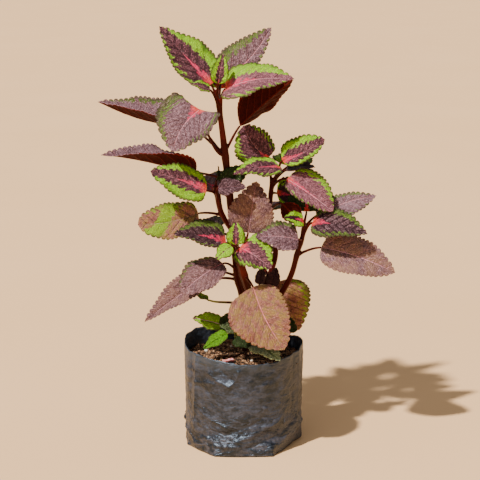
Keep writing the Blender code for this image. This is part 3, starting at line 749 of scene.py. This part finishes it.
def make_blade(leaf, number):
    """Grow one blade, put it on its stalk and give it two faces."""
    teeth = max(FEWEST_TEETH, round(leaf.length / TOOTH_LENGTH))
    values = {key.capitalize(): value for key, value in leaf.traits.items()}
    left, right = values.pop("Green")
    values.update({
        "Length": leaf.length, "Width": leaf.width,
        "Tooth": min(LARGEST_TOOTH_SHARE, TOOTH_DEPTH / leaf.width),
        "Quilt": min(QUILT_HEIGHT, leaf.width / WIDTH_PER_QUILT),
        "Seed": number * SEED_STEP, "Rows": teeth * ROWS_PER_TOOTH + 1, "Teeth": teeth,
        "Columns": 4 * max(3, round(leaf.width / FOUR_COLUMNS)) + 1,
        "Green left": left, "Green right": right, "Top": LEAF_FINISHES[leaf.finish],
    })
    blade = run_tree(leaf.name, BLADE_TREE, values)
    blade.data.transform(leaf.placing())
    blade.data.materials.append(UNDERSIDE)
    set_up(blade.modifiers.new("sheet", "SOLIDIFY"), thickness=BLADE_THICKNESS * MM, offset=0,
           material_offset=1)
    return blade


for number, leaf in enumerate(leaves):
    blade = make_blade(leaf, number)
    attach(blade, "root")
    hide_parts("leaf_" + leaf.name)
print("blades made:", len(leaves))

# %% [markdown]
# ## Stems and stalks
# The stems of a coleus are square with rounded corners, swell a little where a pair of leaves is
# attached, and run into the stalks without a seam. A tree sweeps a rounded square along all the
# paths of one piece. The tubes only cross each other, so a voxel remesh then melts them into one
# skin, and a little smoothing leaves soft collars where the stalks leave.

# %% The tree of the stems
def stem_tree():
    """Sweep a rounded square along paths that carry their own radius."""
    tree, given = start_tree("swept_stems", ("Squareness",), ("Sides",), ("Skin",))
    paths = node(tree, "GeometryNodeMeshToCurve", Mesh=given["Geometry"])
    circle = node(tree, "GeometryNodeCurvePrimitiveCircle", "Curve", Resolution=given["Sides"],
                  Radius=1.0)
    x, y, _ = parts_of(node(tree, "GeometryNodeInputPosition"))
    square = 1 + given["Squareness"] * (abs(x * y * 2) - 0.5)
    outline = node(tree, "GeometryNodeSetPosition", Geometry=circle,
                   Position=vector_of(tree, x * square, y * square, 0.0))
    radius = node(tree, "GeometryNodeInputNamedAttribute", "Attribute", {"data_type": "FLOAT"},
                  Name="path_radius")
    swept = node(tree, "GeometryNodeCurveToMesh", Curve=paths, Profile_Curve=outline, Scale=radius,
                 Fill_Caps=True)
    end_tree(tree, swept, given["Skin"])
    return tree


STEM_TREE = stem_tree()
print("stem tree nodes:", len(STEM_TREE.nodes))


# %% Paths of the stems and their skin
STEM_STEPS = 8
STEM_SIDES = 20
SQUARENESS = 0.28
NODE_SWELL = 0.16
NODE_REACH = 5.0
STALK_ROOT_RADIUS = 1.5
STALK_TIP_RADIUS = 1.0
COLLAR_SWELL = 0.9
COLLAR_STEPS = 2.5
VOXEL = 0.55
# green stalks: those of green leaves that start below this height on the upright plane
YOUNG_BELOW = 150
YOUNG_FINISHES = ("green", "lime")


def stalk_radius(step):
    """Radius of a stalk at one of its steps, thicker where it leaves the stem."""
    taper = STALK_ROOT_RADIUS + (STALK_TIP_RADIUS - STALK_ROOT_RADIUS) * step / STALK_STEPS
    return taper + COLLAR_SWELL * max(0, 1 - step / COLLAR_STEPS)


def paths_of(stem_names):
    """Every path of a stem piece: its tubes, then its stalks, with how young each one is."""
    for name in stem_names:
        collars = [point_on_stem(*leaf.root) for leaf in leaves if leaf.root[0] == name]
        path = []
        for point in stem_points(name, STEM_STEPS):
            near = min([(point.to_3d() - c).length for c in collars] + [NODE_REACH])
            swell = 1 + NODE_SWELL * (1 - near / NODE_REACH)
            path.append((point.to_3d(), point.w * swell, 0.0))
        yield path
    for leaf in leaves:
        if leaf.root[0] in stem_names:
            young = float(leaf.finish in YOUNG_FINISHES and leaf.root[1] < YOUNG_BELOW)
            yield [(point, stalk_radius(k), young) for k, point in enumerate(leaf.stalk())]


def make_stem(name, stem_names, skin):
    """Sweep the paths, melt them into one skin and note how green each part is."""
    verts, edges, radii, youth = [], [], [], []
    for path in paths_of(stem_names):
        edges += [(len(verts) + k, len(verts) + k + 1) for k in range(len(path) - 1)]
        verts += [point * MM for point, radius, young in path]
        radii += [radius * MM for point, radius, young in path]
        youth += [young for point, radius, young in path]
    mesh = bpy.data.meshes.new(name)
    mesh.from_pydata(verts, edges, [])
    mesh.attributes.new("path_radius", "FLOAT", "POINT").data.foreach_set("value", radii)
    inputs = {"Squareness": SQUARENESS, "Sides": STEM_SIDES, "Skin": skin}
    stem = run_tree(name, STEM_TREE, inputs, mesh)
    set_up(stem.modifiers.new("melt", "REMESH"), mode="VOXEL", voxel_size=VOXEL * MM,
           use_smooth_shade=True)
    set_up(stem.modifiers.new("soften", "SMOOTH"), factor=0.5, iterations=4)
    keep_made(stem)
    stem.data.materials.clear()
    stem.data.materials.append(skin)
    nearest = kdtree.KDTree(len(verts))
    for k, vert in enumerate(verts):
        nearest.insert(vert, k)
    nearest.balance()
    greens = [youth[nearest.find(vert.co)[1]] for vert in stem.data.vertices]
    stem.data.attributes.new("young", "FLOAT", "POINT").data.foreach_set("value", greens)
    return stem


print("stalks to sweep:", len(leaves))


# %% The finish of the stems, and both stems
def stem_finish():
    """Dark maroon skin with fine streaks up the stem, greener on the youngest stalks."""
    material, tree = start_finish("maroon_stem", Specular_IOR_Level=0.2,
                                  Specular_Tint=(1.0, 0.6, 0.5, 1.0))
    place = node(tree, "ShaderNodeTexCoord", "Object")
    streak_place = node(tree, "ShaderNodeMapping", 0, Vector=place, Scale=(900, 900, 90))
    streaks = noise_field(streak_place, 1.0, 3.0)
    cloud = noise_field(place, 60.0, 3.0)
    young = node(tree, "ShaderNodeAttribute", "Fac", {"attribute_name": "young"})
    body = blend((0.006, 0.0005, 0.0003), (0.085, 0.0035, 0.0015), streaks * 0.6 + cloud * 0.5 - 0.1)
    body = blend(body, (0.16, 0.016, 0.006), ramp(cloud, 0.55, 0.75) * 0.35)
    body = blend(body, (0.22, 0.26, 0.06), young * ramp(cloud, 0.3, 0.5))
    return end_finish(material, body, streaks * 0.2 + 0.34, bump(streaks, 0.0003, 0.5))


STEM_SKIN = stem_finish()
for name, stem_names in STEM_PIECES.items():
    stem = make_stem(name + "_skin", stem_names, STEM_SKIN)
    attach(stem, "root")
    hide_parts(name)
    print(stem.name, "has", len(stem.data.polygons), "faces")

# %% [markdown]
# ## The bag
# The pot is a cheap nursery bag: thin black polythene, filled until it stands as a drum. The film
# hangs in creases that start at the pinched corners and at the foot, and its cut rim wanders up and
# down. A lathe would look too perfect, so the film is built as rings in mesh code, pushed in and out
# by a short list of drawn creases and by a little crumple noise.

# %% Rim, creases and folds
BAG_RADIUS = 59.0
BAG_FOOT_RADIUS = 57.0
FULL_WIDTH_FROM = 90.0
FILM_THICKNESS = 0.6
# height of the rim at these angles in degrees from +X
RIM = {
    -90: 93, -64: 93, -42: 96, -10: 100, 10: 102, 50: 97,
    95: 101, 140: 105, 155: 104, 180: 102, 215: 98, 232: 97, 255: 95,
}
# sides of the folded base: the way each one faces in degrees from +X, and its distance from the axis
FOOT_SIDES = [(-90, 58), (-25, 51.5), (-142, 58), (180, 57.5), (140, 56), (90, 54), (33, 51.5)]
FOOT_HEIGHT = 22.0
FOOT_ROUNDING = 2.5
# points (degrees to the right of the front, height), how far out or in, and the width of the crease
CREASES = [
    ([(-34, 82), (-24, 75), (-13, 71)], 2.0, 2.4),
    ([(-13, 71), (-7, 77), (-4, 86)], 2.0, 2.0),
    ([(-21, 86), (-13, 79), (-9, 77)], -2.0, 5.0),
    ([(-51, 96), (-52, 72), (-54, 48), (-56, 24)], 1.7, 2.6),
    ([(-59, 97), (-61, 74), (-64, 50)], -1.6, 3.4),
    ([(68, 98), (70, 60), (67, 30)], 1.1, 2.6),
    ([(58, 95), (59, 62), (57, 40)], -1.0, 3.4),
    ([(-46, 41), (-32, 35), (-14, 29)], 1.6, 4.4),
    ([(-48, 30), (-32, 25), (-14, 21)], -1.6, 4.6),
    ([(-10, 25), (4, 30), (18, 37)], -1.7, 4.2),
    ([(-8, 15), (8, 21), (24, 27), (38, 35)], 2.2, 4.4),
    ([(4, 9), (24, 15), (44, 21), (62, 30)], -1.9, 4.4),
    ([(12, 4), (32, 8), (54, 13), (72, 21)], 2.0, 4.2),
    ([(-38, 15), (-22, 10), (-6, 11)], 1.3, 3.2),
    ([(-84, 18), (-66, 15), (-54, 8)], 2.4, 3.4),
    ([(-80, 8), (-66, 5)], -2.2, 4.0),
    ([(64, 26), (76, 21), (88, 22)], 2.4, 3.2),
    ([(112, 88), (124, 74), (142, 66)], 1.5, 2.2),
    ([(142, 66), (152, 78), (158, 92)], 1.6, 2.0),
    ([(118, 32), (140, 25), (166, 27)], 1.5, 2.6),
    ([(176, 18), (196, 25), (218, 22)], -1.6, 3.0),
    ([(198, 84), (204, 60), (200, 36)], 1.2, 2.2),
    ([(224, 34), (242, 28), (258, 30)], 1.4, 2.6),
    ([(150, 12), (180, 9), (214, 13)], 1.3, 2.4),
]
CREASE_REACH = 4
SLACK_BELOW = 45
FLOPPY_BAND = 14
FLOPPY_WAVE = 1.6


def around_axis(angle, radius):
    """The x and y of a point at an angle in degrees from +X."""
    a = math.radians(angle)
    return radius * math.cos(a), radius * math.sin(a)


def rim_height(angle):
    """Height of the bag's rim at an angle in degrees from +X, read smoothly between marks."""
    marks = sorted(RIM)
    angle = (angle - marks[0]) % 360 + marks[0]
    loop = marks + [marks[0] + 360]
    for low, high in zip(loop, loop[1:]):
        if low <= angle <= high:
            ease = (1 - math.cos(math.pi * (angle - low) / (high - low))) / 2
            return RIM[low] + (RIM[marks[loop.index(high) % len(marks)]] - RIM[low]) * ease


def away_from(point, points):
    """Distance in millimetres over the film from a point to a crease, both as (angle, height)."""
    spots = [Vector((((angle - point[0] + 180) % 360 - 180) * math.radians(BAG_RADIUS), height))
             for angle, height in points]
    nearest = math.inf
    for start, end in zip(spots, spots[1:]):
        run = end - start
        share = min(1, max(0, (Vector((0, point[1])) - start).dot(run) / run.length_squared))
        nearest = min(nearest, (start + run * share - Vector((0, point[1]))).length)
    return nearest


def folded_foot(angle):
    """Radius of the folded base, whose sides are straight between blunt corners."""
    return min(out / max(0.2, math.cos(math.radians(angle - facing))) for facing, out in FOOT_SIDES)


def ridges(spot, mean):
    """Sharp ridges of noise, which stand out from a mean level."""
    return mean - abs(noise.noise(spot)) * 2


def film_radius(angle, height, top):
    """Outer radius of the film at an angle in degrees from +X and a height."""
    a = math.radians(angle)
    t = min(height / FULL_WIDTH_FROM, 1)
    radius = BAG_FOOT_RADIUS + (BAG_RADIUS - BAG_FOOT_RADIUS) * t
    squared = max(0, 1 - height / FOOT_HEIGHT) ** 1.5
    radius += (folded_foot(angle) - radius) * squared
    radius += 0.7 * math.sin(3 * a + 0.6) + 0.4 * math.sin(7 * a + 2 * t)
    around = angle + 90
    for points, out, width in CREASES:
        gap = away_from((around, height), points)
        reach = CREASE_REACH * width
        if gap < reach:
            radius += out * math.exp(-gap / width) * (1 - gap / reach)
    spot = Vector((*around_axis(angle, BAG_RADIUS), height))
    slack = max(0, 1 - height / SLACK_BELOW)
    flat_spot = Vector((spot.x / 20, spot.y / 20, spot.z / 7))
    radius += (0.3 + 0.9 * slack) * ridges(flat_spot, 0.5)
    radius += 0.45 * ridges(spot / 9, 0.4) + 0.2 * noise.noise(spot / 3)
    floppy = max(0, 1 - (top - height) / FLOPPY_BAND)
    radius += floppy * floppy * FLOPPY_WAVE * noise.noise(Vector((spot.x / 16, spot.y / 16, 4)))
    if height < FOOT_ROUNDING:
        drop = 1 - height / FOOT_ROUNDING
        radius -= FOOT_ROUNDING * (1 - math.sqrt(1 - drop * drop)) * 0.8
    return radius


print("creases drawn by hand:", len(CREASES))

# %% [markdown]
# ## Rings into a closed skin
# The film and the soil are both round, so one helper joins rings of points into a skin and closes
# it with a pole at the start and, where it is asked for, at the end.

# %% A skin from rings
def add_built(name, built):
    """Turn what bmesh has built into a mesh, and put it in the scene."""
    mesh = bpy.data.meshes.new(name)
    built.to_mesh(mesh)
    built.free()
    return add_object(name, mesh)


def ring_skin(name, sides, rings, close_top):
    """Join rings upwards. Each is a function that places an angle, with the ring's own numbers."""
    skin = bmesh.new()
    angles = [360 * k / sides for k in range(sides)]
    loops = []
    for place, *numbers in rings:
        loops.append([skin.verts.new(Vector(place(angle, *numbers)) * MM) for angle in angles])
    for low, high in zip(loops, loops[1:]):
        for k in range(sides):
            skin.faces.new((low[k], low[(k + 1) % sides], high[(k + 1) % sides], high[k]))
    for loop, wanted in ((loops[0], True), (loops[-1], close_top)):
        if wanted:
            pole = skin.verts.new(sum((vert.co for vert in loop), Vector()) / sides)
            for k in range(sides):
                skin.faces.new((loop[(k + 1) % sides], loop[k], pole))
    bmesh.ops.recalc_face_normals(skin, faces=skin.faces)
    piece = add_built(name, skin)
    piece.data.shade_smooth()
    return piece


print("a skin can be made from rings")


# %% [markdown]
# ## The film
# Real film is a tenth of a millimetre thick and hangs as the earth presses it. Rings of points follow
# its outer face, from the middle of the base to the rim, and Solidify thickens it inwards. Handling
# and watering leave black polythene dusty grey with smears of earth near the foot, so noise paints
# the dust, and a bump map adds the wrinkles that are too fine for the mesh and break up the gloss.

# %% Rings of the film
FILM_SIDES = 330
FILM_RINGS = 84
FILM_FLOOR_RINGS = (0.25, 0.5, 0.75, 0.92)
RIM_KINKS = 0.7


def film_point(angle, share):
    """A point of the film at a share of the way up to the rim."""
    top = rim_height(angle) + RIM_KINKS * noise.noise(Vector((*around_axis(angle, 9), 0)))
    height = top * share
    return (*around_axis(angle, film_radius(angle, height, top)), height)


def film_floor_point(angle, share):
    """A point of the flat bottom, at a share of the way out to the foot."""
    x, y, _ = film_point(angle, 0)
    return x * share, y * share, 0


print("points of the film:", FILM_SIDES * (FILM_RINGS + 1 + len(FILM_FLOOR_RINGS)) + 1)


# %% The finish of the film, and the bag
def film_finish():
    """Dark grey polythene with dust, earth near the foot, a painted highlight under the rim and fine
    wrinkles.
    """
    material, tree = start_finish("black_film", Specular_IOR_Level=0.7,
                                  Specular_Tint=(0.60, 0.77, 1.0, 1.0))
    place = node(tree, "ShaderNodeTexCoord", "Object")
    wide = noise_field(place, 28.0, 4.0)
    flattened = node(tree, "ShaderNodeMapping", 0, Vector=place, Scale=(80, 80, 190))
    smear = noise_field(flattened, 1.0, 5.0, 0.8)
    fine = noise_field(place, 420.0, 3.0)
    _, _, height = parts_of(place)
    low = ramp(height, 0.055, 0.004)
    dust = ramp(smear * 0.5 + wide * 0.35 + fine * 0.2, 0.42, 0.66)
    body = blend((0.002, 0.0025, 0.004), (0.041, 0.043, 0.060), dust)
    earth = ramp(smear * 0.5 + low * 0.12 + fine * 0.3, 0.50, 0.66) * low * 0.3
    body = blend(body, (0.12, 0.080, 0.052), earth)
    # painted highlight: a paler bluish band under the rim, where the rim catches the light
    body = blend(body, (0.050, 0.062, 0.080), ramp(height, 0.082, 0.096) * 0.5)
    crumple = abs(noise_field(flattened, 1.0, 3.0, 0.6) - 0.5)
    creased = abs(noise_field(place, 45.0, 2.0, 0.5) - 0.5)
    crumpled = ramp(height, 0.062, 0.030) * 0.5 + 0.5
    relief = (crumple + creased * 1.4) * crumpled + fine * 0.14
    return end_finish(material, body, dust * 0.16 + 0.34 + fine * 0.08, bump(relief, 0.0036, 0.8))


rings = [(film_floor_point, share) for share in FILM_FLOOR_RINGS]
rings += [(film_point, k / FILM_RINGS) for k in range(FILM_RINGS + 1)]
bag = ring_skin("film_bag", FILM_SIDES, rings, False)
bag.data.materials.append(film_finish())
set_up(bag.modifiers.new("film", "SOLIDIFY"), thickness=FILM_THICKNESS * MM, offset=-1)
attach(bag, "root")
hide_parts("grow_bag")
print("film faces:", len(bag.data.polygons))

# %% [markdown]
# ## The soil
# The bag holds coarse coco peat: nearly black where it is damp, with loose rust-brown crumbs and
# hairs on top, and a few white bits of grit. The body of the soil is a skin of rings with a lumpy
# top. Crumbs and hairs are scattered over that top by a Geometry Nodes tree with a fixed seed, so
# that they lie the same way on every run.

# %% The body of the soil
SOIL_SIDES = 96
SOIL_CLEARANCE = 1.6
SOIL_FLOOR = 1.4
# height and share of the way out to the film
SOIL_SIDE_RINGS = [
    (SOIL_FLOOR, 0.5), (SOIL_FLOOR, 0.9), (6, 0.94), (14, 0.94), (24, 0.94), (40, 0.97), (60, 1.0),
    (80, 1.0),
]
SOIL_TOP_RINGS = [
    1.0, 0.985, 0.96, 0.92, 0.87, 0.81, 0.74, 0.66, 0.58, 0.50, 0.42, 0.34, 0.26, 0.18, 0.1,
]
ABOVE_FOOT = 6
MOUND_HEIGHT = 1.6
MOUND_RADIUS = 50
EDGE_DROP = 1.5


def soil_radius(angle, height):
    """Radius of the soil, clear of the film's inner face."""
    return film_radius(angle, height, rim_height(angle)) - FILM_THICKNESS - SOIL_CLEARANCE


def soil_lump(x, y):
    """Height of the soil's top at a place."""
    spot = Vector((x, y, 0))
    mound = MOUND_HEIGHT * max(0, 1 - spot.length / MOUND_RADIUS)
    return SOIL_TOP + mound + 1.3 * noise.noise(spot / 14) + 0.9 * noise.noise(spot / 5) \
        + 0.5 * noise.noise(spot / 2)


def soil_side(angle, height, share):
    """A point of the soil's side, at a share of the way out to the film."""
    return (*around_axis(angle, soil_radius(angle, max(height, ABOVE_FOOT)) * share), height)


def soil_top(angle, share):
    """A point of the soil's top, at a share of the way out. It sinks over the last tenth."""
    x, y = around_axis(angle, soil_radius(angle, SOIL_TOP) * share)
    return x, y, soil_lump(x, y) - EDGE_DROP * max(0, share - 0.9) * 10


print("rings of the soil:", len(SOIL_SIDE_RINGS) + len(SOIL_TOP_RINGS))


# %% The finish of the soil, and its body
def soil_finish(name, damp, dry, fibre):
    """Peat: damp and dry crumbs with rusty specks, and each loose crumb has a tone of its own."""
    material, tree = start_finish(name, Specular_IOR_Level=0.25)
    place = node(tree, "ShaderNodeTexCoord", "Object")
    tone = node(tree, "ShaderNodeAttribute", "Fac", {"attribute_name": "crumb_tone"})
    lumps = noise_field(place, 220.0, 4.0)
    specks = noise_field(place, 800.0, 3.0)
    body = blend(damp, dry, ramp(lumps + tone * 0.5, 0.4, 0.9))
    body = blend(body, fibre, ramp(specks + tone * 0.35, 0.62, 0.85))
    return end_finish(material, body, 0.75 + lumps * 0.2, bump(specks + lumps, 0.0012, 0.9))


PEAT = soil_finish("damp_peat", (0.010, 0.005, 0.003), (0.06, 0.028, 0.015), (0.20, 0.085, 0.04))
rings = [(soil_side, height, share) for height, share in SOIL_SIDE_RINGS]
rings += [(soil_top, share) for share in SOIL_TOP_RINGS]
soil = ring_skin("coco_peat", SOIL_SIDES, rings, True)
soil.data.materials.append(PEAT)
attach(soil, "root")
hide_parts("soil")
print("soil faces:", len(soil.data.polygons))


# %% The tree of the crumbs
LOWEST_CRUMB = SOIL_TOP - 5
HAIR_RADIUS = 0.16
HAIR_TILT = 0.35
HAIR_SEED_OFFSET = 7
MOSTLY_SMALL = 2.5


def scatter_tree():
    """Scatter lumpy crumbs and bent hairs over the upper faces of a mesh."""
    tree, given = start_tree("scattered_crumbs", ("Crumbs", "Hairs", "Smallest", "Largest"), ("Seed",),
                             ("Finish",))
    place = node(tree, "GeometryNodeInputPosition")
    px, py, pz = parts_of(place)
    upward = parts_of(node(tree, "GeometryNodeInputNormal"))[2].do("GREATER_THAN", 0.6)
    on_top = upward * pz.do("GREATER_THAN", LOWEST_CRUMB * MM)
    sphere = node(tree, "GeometryNodeMeshIcoSphere", Radius=1.0, Subdivisions=1)
    knobbly = noise_field(place, 1.3, 1.0) * 0.9 + 0.55
    crumb = node(tree, "GeometryNodeSetPosition", Geometry=sphere,
                 Position=vector_of(tree, px * knobbly, py * knobbly, pz * knobbly * 0.7))
    line = node(tree, "GeometryNodeCurveQuadraticBezier", Resolution=6, Start=(-3.0, 0, 0),
                Middle=(0.0, 2.4, 0.6), End=(3.0, 0.4, 0.2))
    section = node(tree, "GeometryNodeCurvePrimitiveCircle", "Curve", Resolution=4, Radius=HAIR_RADIUS)
    hair = node(tree, "GeometryNodeCurveToMesh", Curve=line, Profile_Curve=section, Fill_Caps=True)
    layers = []
    for shape, density, tilt, offset in (
            (crumb, given["Crumbs"], math.pi, 0), (hair, given["Hairs"], HAIR_TILT, HAIR_SEED_OFFSET)):
        seed = given["Seed"] + offset
        points = node(tree, "GeometryNodeDistributePointsOnFaces", Mesh=given["Geometry"],
                      Selection=on_top, Density=density, Seed=seed)
        turn = node(tree, "FunctionNodeRandomValue", 0, {"data_type": "FLOAT_VECTOR"},
                    _0=(-tilt, -tilt, -math.pi), _1=(tilt, tilt, math.pi), Seed=seed + 1)
        share = node(tree, "FunctionNodeRandomValue", 1, Seed=seed + 2)
        size = given["Smallest"] + (given["Largest"] - given["Smallest"]) * share ** MOSTLY_SMALL
        spread = node(tree, "GeometryNodeInstanceOnPoints", Points=points, Instance=shape,
                      Rotation=turn, Scale=size)
        tone = node(tree, "FunctionNodeRandomValue", 1, Seed=seed + 3)
        layers.append(store(spread, "FLOAT", "INSTANCE", "crumb_tone", tone))
    join = tree.nodes.new("GeometryNodeJoinGeometry")
    for layer in layers:
        plug(layer, join.inputs[0])
    end_tree(tree, Field(join.outputs[0]), given["Finish"])
    return tree


CRUMB_TREE = scatter_tree()
print("crumb tree nodes:", len(CRUMB_TREE.nodes))

# %% Scatter the crumbs
CRUMB_FINISH = soil_finish("loose_peat", (0.02, 0.009, 0.004), (0.17, 0.08, 0.04), (0.45, 0.26, 0.14))
# crumbs and hairs are counted on a square metre
CRUMB_INPUTS = {"Crumbs": 260000, "Hairs": 26000, "Smallest": 0.4 * MM, "Largest": 2.2 * MM, "Seed": 11,
                "Finish": CRUMB_FINISH}
crumbs = run_tree("peat_crumbs", CRUMB_TREE, CRUMB_INPUTS, soil.data.copy())
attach(crumbs, "root")
print("crumb faces:", len(crumbs.data.polygons))

# %% [markdown]
# ## Things that fell on the soil
# Three small things catch the eye at the front of the soil: white bits of grit, a pink scrap of a
# leaf that has curled up, and a thin reddish root. Each is a small mesh of its own, laid on the
# height of the soil under it.

# %% White bits
# place on the soil and radius
WHITE_BITS = [(-36.8, 7, 1.9), (8.6, -29, 1.5), (24, -42, 1.2), (-30, -22, 1.0), (-12, 24, 1.4),
              (34, 10, 1.3), (-2, -46, 1.0), (18, 34, 1.6), (-44, -8, 0.9)]


def grit_finish():
    """Chalky white with faint grey pits."""
    material, tree = start_finish("white_grit", Specular_IOR_Level=0.4)
    place = node(tree, "ShaderNodeTexCoord", "Object")
    pits = noise_field(place, 1500.0, 2.0)
    white = blend((0.50, 0.42, 0.32), (0.85, 0.80, 0.70), pits)
    return end_finish(material, white, pits * 0.3 + 0.5, bump(pits, 0.0004))


grit = bmesh.new()
for x, y, radius in WHITE_BITS:
    made = bmesh.ops.create_icosphere(grit, subdivisions=2, radius=1)["verts"]
    centre = Vector((x, y, soil_lump(x, y) + radius * 0.6))
    for vert in made:
        bulge = radius * (1 + 0.45 * noise.noise(vert.co * 1.1 + centre))
        vert.co = (centre + vert.co * bulge) * MM
white_bits = add_built("white_bits", grit)
white_bits.data.materials.append(grit_finish())
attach(white_bits, "root")
print("white bits:", len(WHITE_BITS))

# %% A curled pink scrap and a thin root
SCRAP_PLACE = (-14.5, -37)
SCRAP_LENGTH = 11.0
SCRAP_WIDTH = 6.0
SCRAP_THICKNESS = 0.4
SCRAP_CURL = 2.2
SCRAP_LIFT = 1.8
ROOT_PLACES = [(-23, -13), (-17, -18), (-9, -17), (-2, -12), (4, -13)]
ROOT_RADIUS = 0.45
ROOT_LIFT = 1.2


def scrap_finish():
    """Wilted pink with paler clouds."""
    material, tree = start_finish("pink_scrap", Sheen_Weight=0.2)
    place = node(tree, "ShaderNodeTexCoord", "Object")
    cloud = noise_field(place, 350.0, 3.0)
    pink = blend((0.42, 0.05, 0.06), (0.85, 0.42, 0.38), ramp(cloud, 0.35, 0.65))
    return end_finish(material, pink, cloud * 0.2 + 0.4, bump(cloud, 0.0006))


def curled_scrap():
    """A small wilted scrap: a narrow sheet that curls up at both margins."""
    sheet = bmesh.new()
    bmesh.ops.create_grid(sheet, x_segments=12, y_segments=8, size=0.5)
    x0, y0 = SCRAP_PLACE
    ground = soil_lump(x0, y0) + SCRAP_LIFT
    for vert in sheet.verts:
        along, out = vert.co.x * 2, vert.co.y * 2
        width = SCRAP_WIDTH / 2 * math.sqrt(max(0.02, 1 - along * along))
        rise = SCRAP_CURL * out * out + 0.8 * math.sin(3 * along) + 0.6 * noise.noise(vert.co * 4)
        vert.co = Vector((x0 + along * SCRAP_LENGTH / 2, y0 + out * width, ground + rise)) * MM
    scrap = add_built("pink_scrap", sheet)
    scrap.data.shade_smooth()
    scrap.data.materials.append(scrap_finish())
    set_up(scrap.modifiers.new("thickness", "SOLIDIFY"), thickness=SCRAP_THICKNESS * MM)
    return scrap


def thin_root():
    """A root hair that wanders over the crumbs, swept by the same tree as the stems."""
    points = smooth_path([Vector((x, y, soil_lump(x, y) + ROOT_LIFT)) for x, y in ROOT_PLACES], 6)
    mesh = bpy.data.meshes.new("thin_root")
    mesh.from_pydata([point * MM for point in points], [(k, k + 1) for k in range(len(points) - 1)], [])
    radii = [ROOT_RADIUS * MM] * len(points)
    mesh.attributes.new("path_radius", "FLOAT", "POINT").data.foreach_set("value", radii)
    return run_tree("thin_root", STEM_TREE, {"Squareness": 0, "Sides": 8, "Skin": STEM_SKIN}, mesh)


for small in (curled_scrap(), thin_root()):
    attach(small, "root")
    print("laid on the soil:", small.name)

# %% [markdown]
# ## Floor and light
# The plant stands on a plain pale floor. A warm key light with crisp edges comes from the left, in
# front and above, so that the upper leaves shade the ones under them. A weak fill from the camera's
# side and an even sky lift the shade.

# %% Floor, lights and sky
def floor_finish():
    """Pale plaster with a barely visible cloud."""
    material, tree = start_finish("pale_floor", Specular_IOR_Level=0.2)
    place = node(tree, "ShaderNodeTexCoord", "Object")
    cloud = noise_field(place, 3.0, 3.0)
    pale = blend((0.84, 0.53, 0.27), (0.88, 0.57, 0.31), cloud)
    return end_finish(material, pale, cloud * 0.1 + 0.7)


FLOOR_SIZE = 80.0
PLANT_MIDDLE = Vector((0, 0, 0.22))
floor_sheet = bmesh.new()
bmesh.ops.create_grid(floor_sheet, x_segments=1, y_segments=1, size=FLOOR_SIZE / 2)
floor = add_built("floor", floor_sheet)
floor.data.materials.append(floor_finish())


def add_light(name, kind, place, colour, **settings):
    """A light at a place in metres, turned to the middle of the plant."""
    lamp = add_object(name, set_up(bpy.data.lights.new(name, kind), color=colour, **settings))
    lamp.location = place
    lamp.rotation_euler = (PLANT_MIDDLE - lamp.location).to_track_quat("-Z", "Y").to_euler()


add_light("key", "SUN", (-1.2, -1.45, 2.5), (1.0, 0.93, 0.85), energy=7.0, angle=0.04)
add_light("fill", "AREA", (-0.9, -2.2, 1.2), (1.0, 0.95, 0.90), energy=10, size=1.4)
sky = bpy.data.worlds.new("studio_sky")
bpy.context.scene.world = sky
sky.use_nodes = True
sky_light = sky.node_tree.nodes["Background"]
sky_light.inputs["Color"].default_value = (1.0, 0.94, 0.87, 1)
sky_light.inputs["Strength"].default_value = 0.36
print("floor and lights ready")
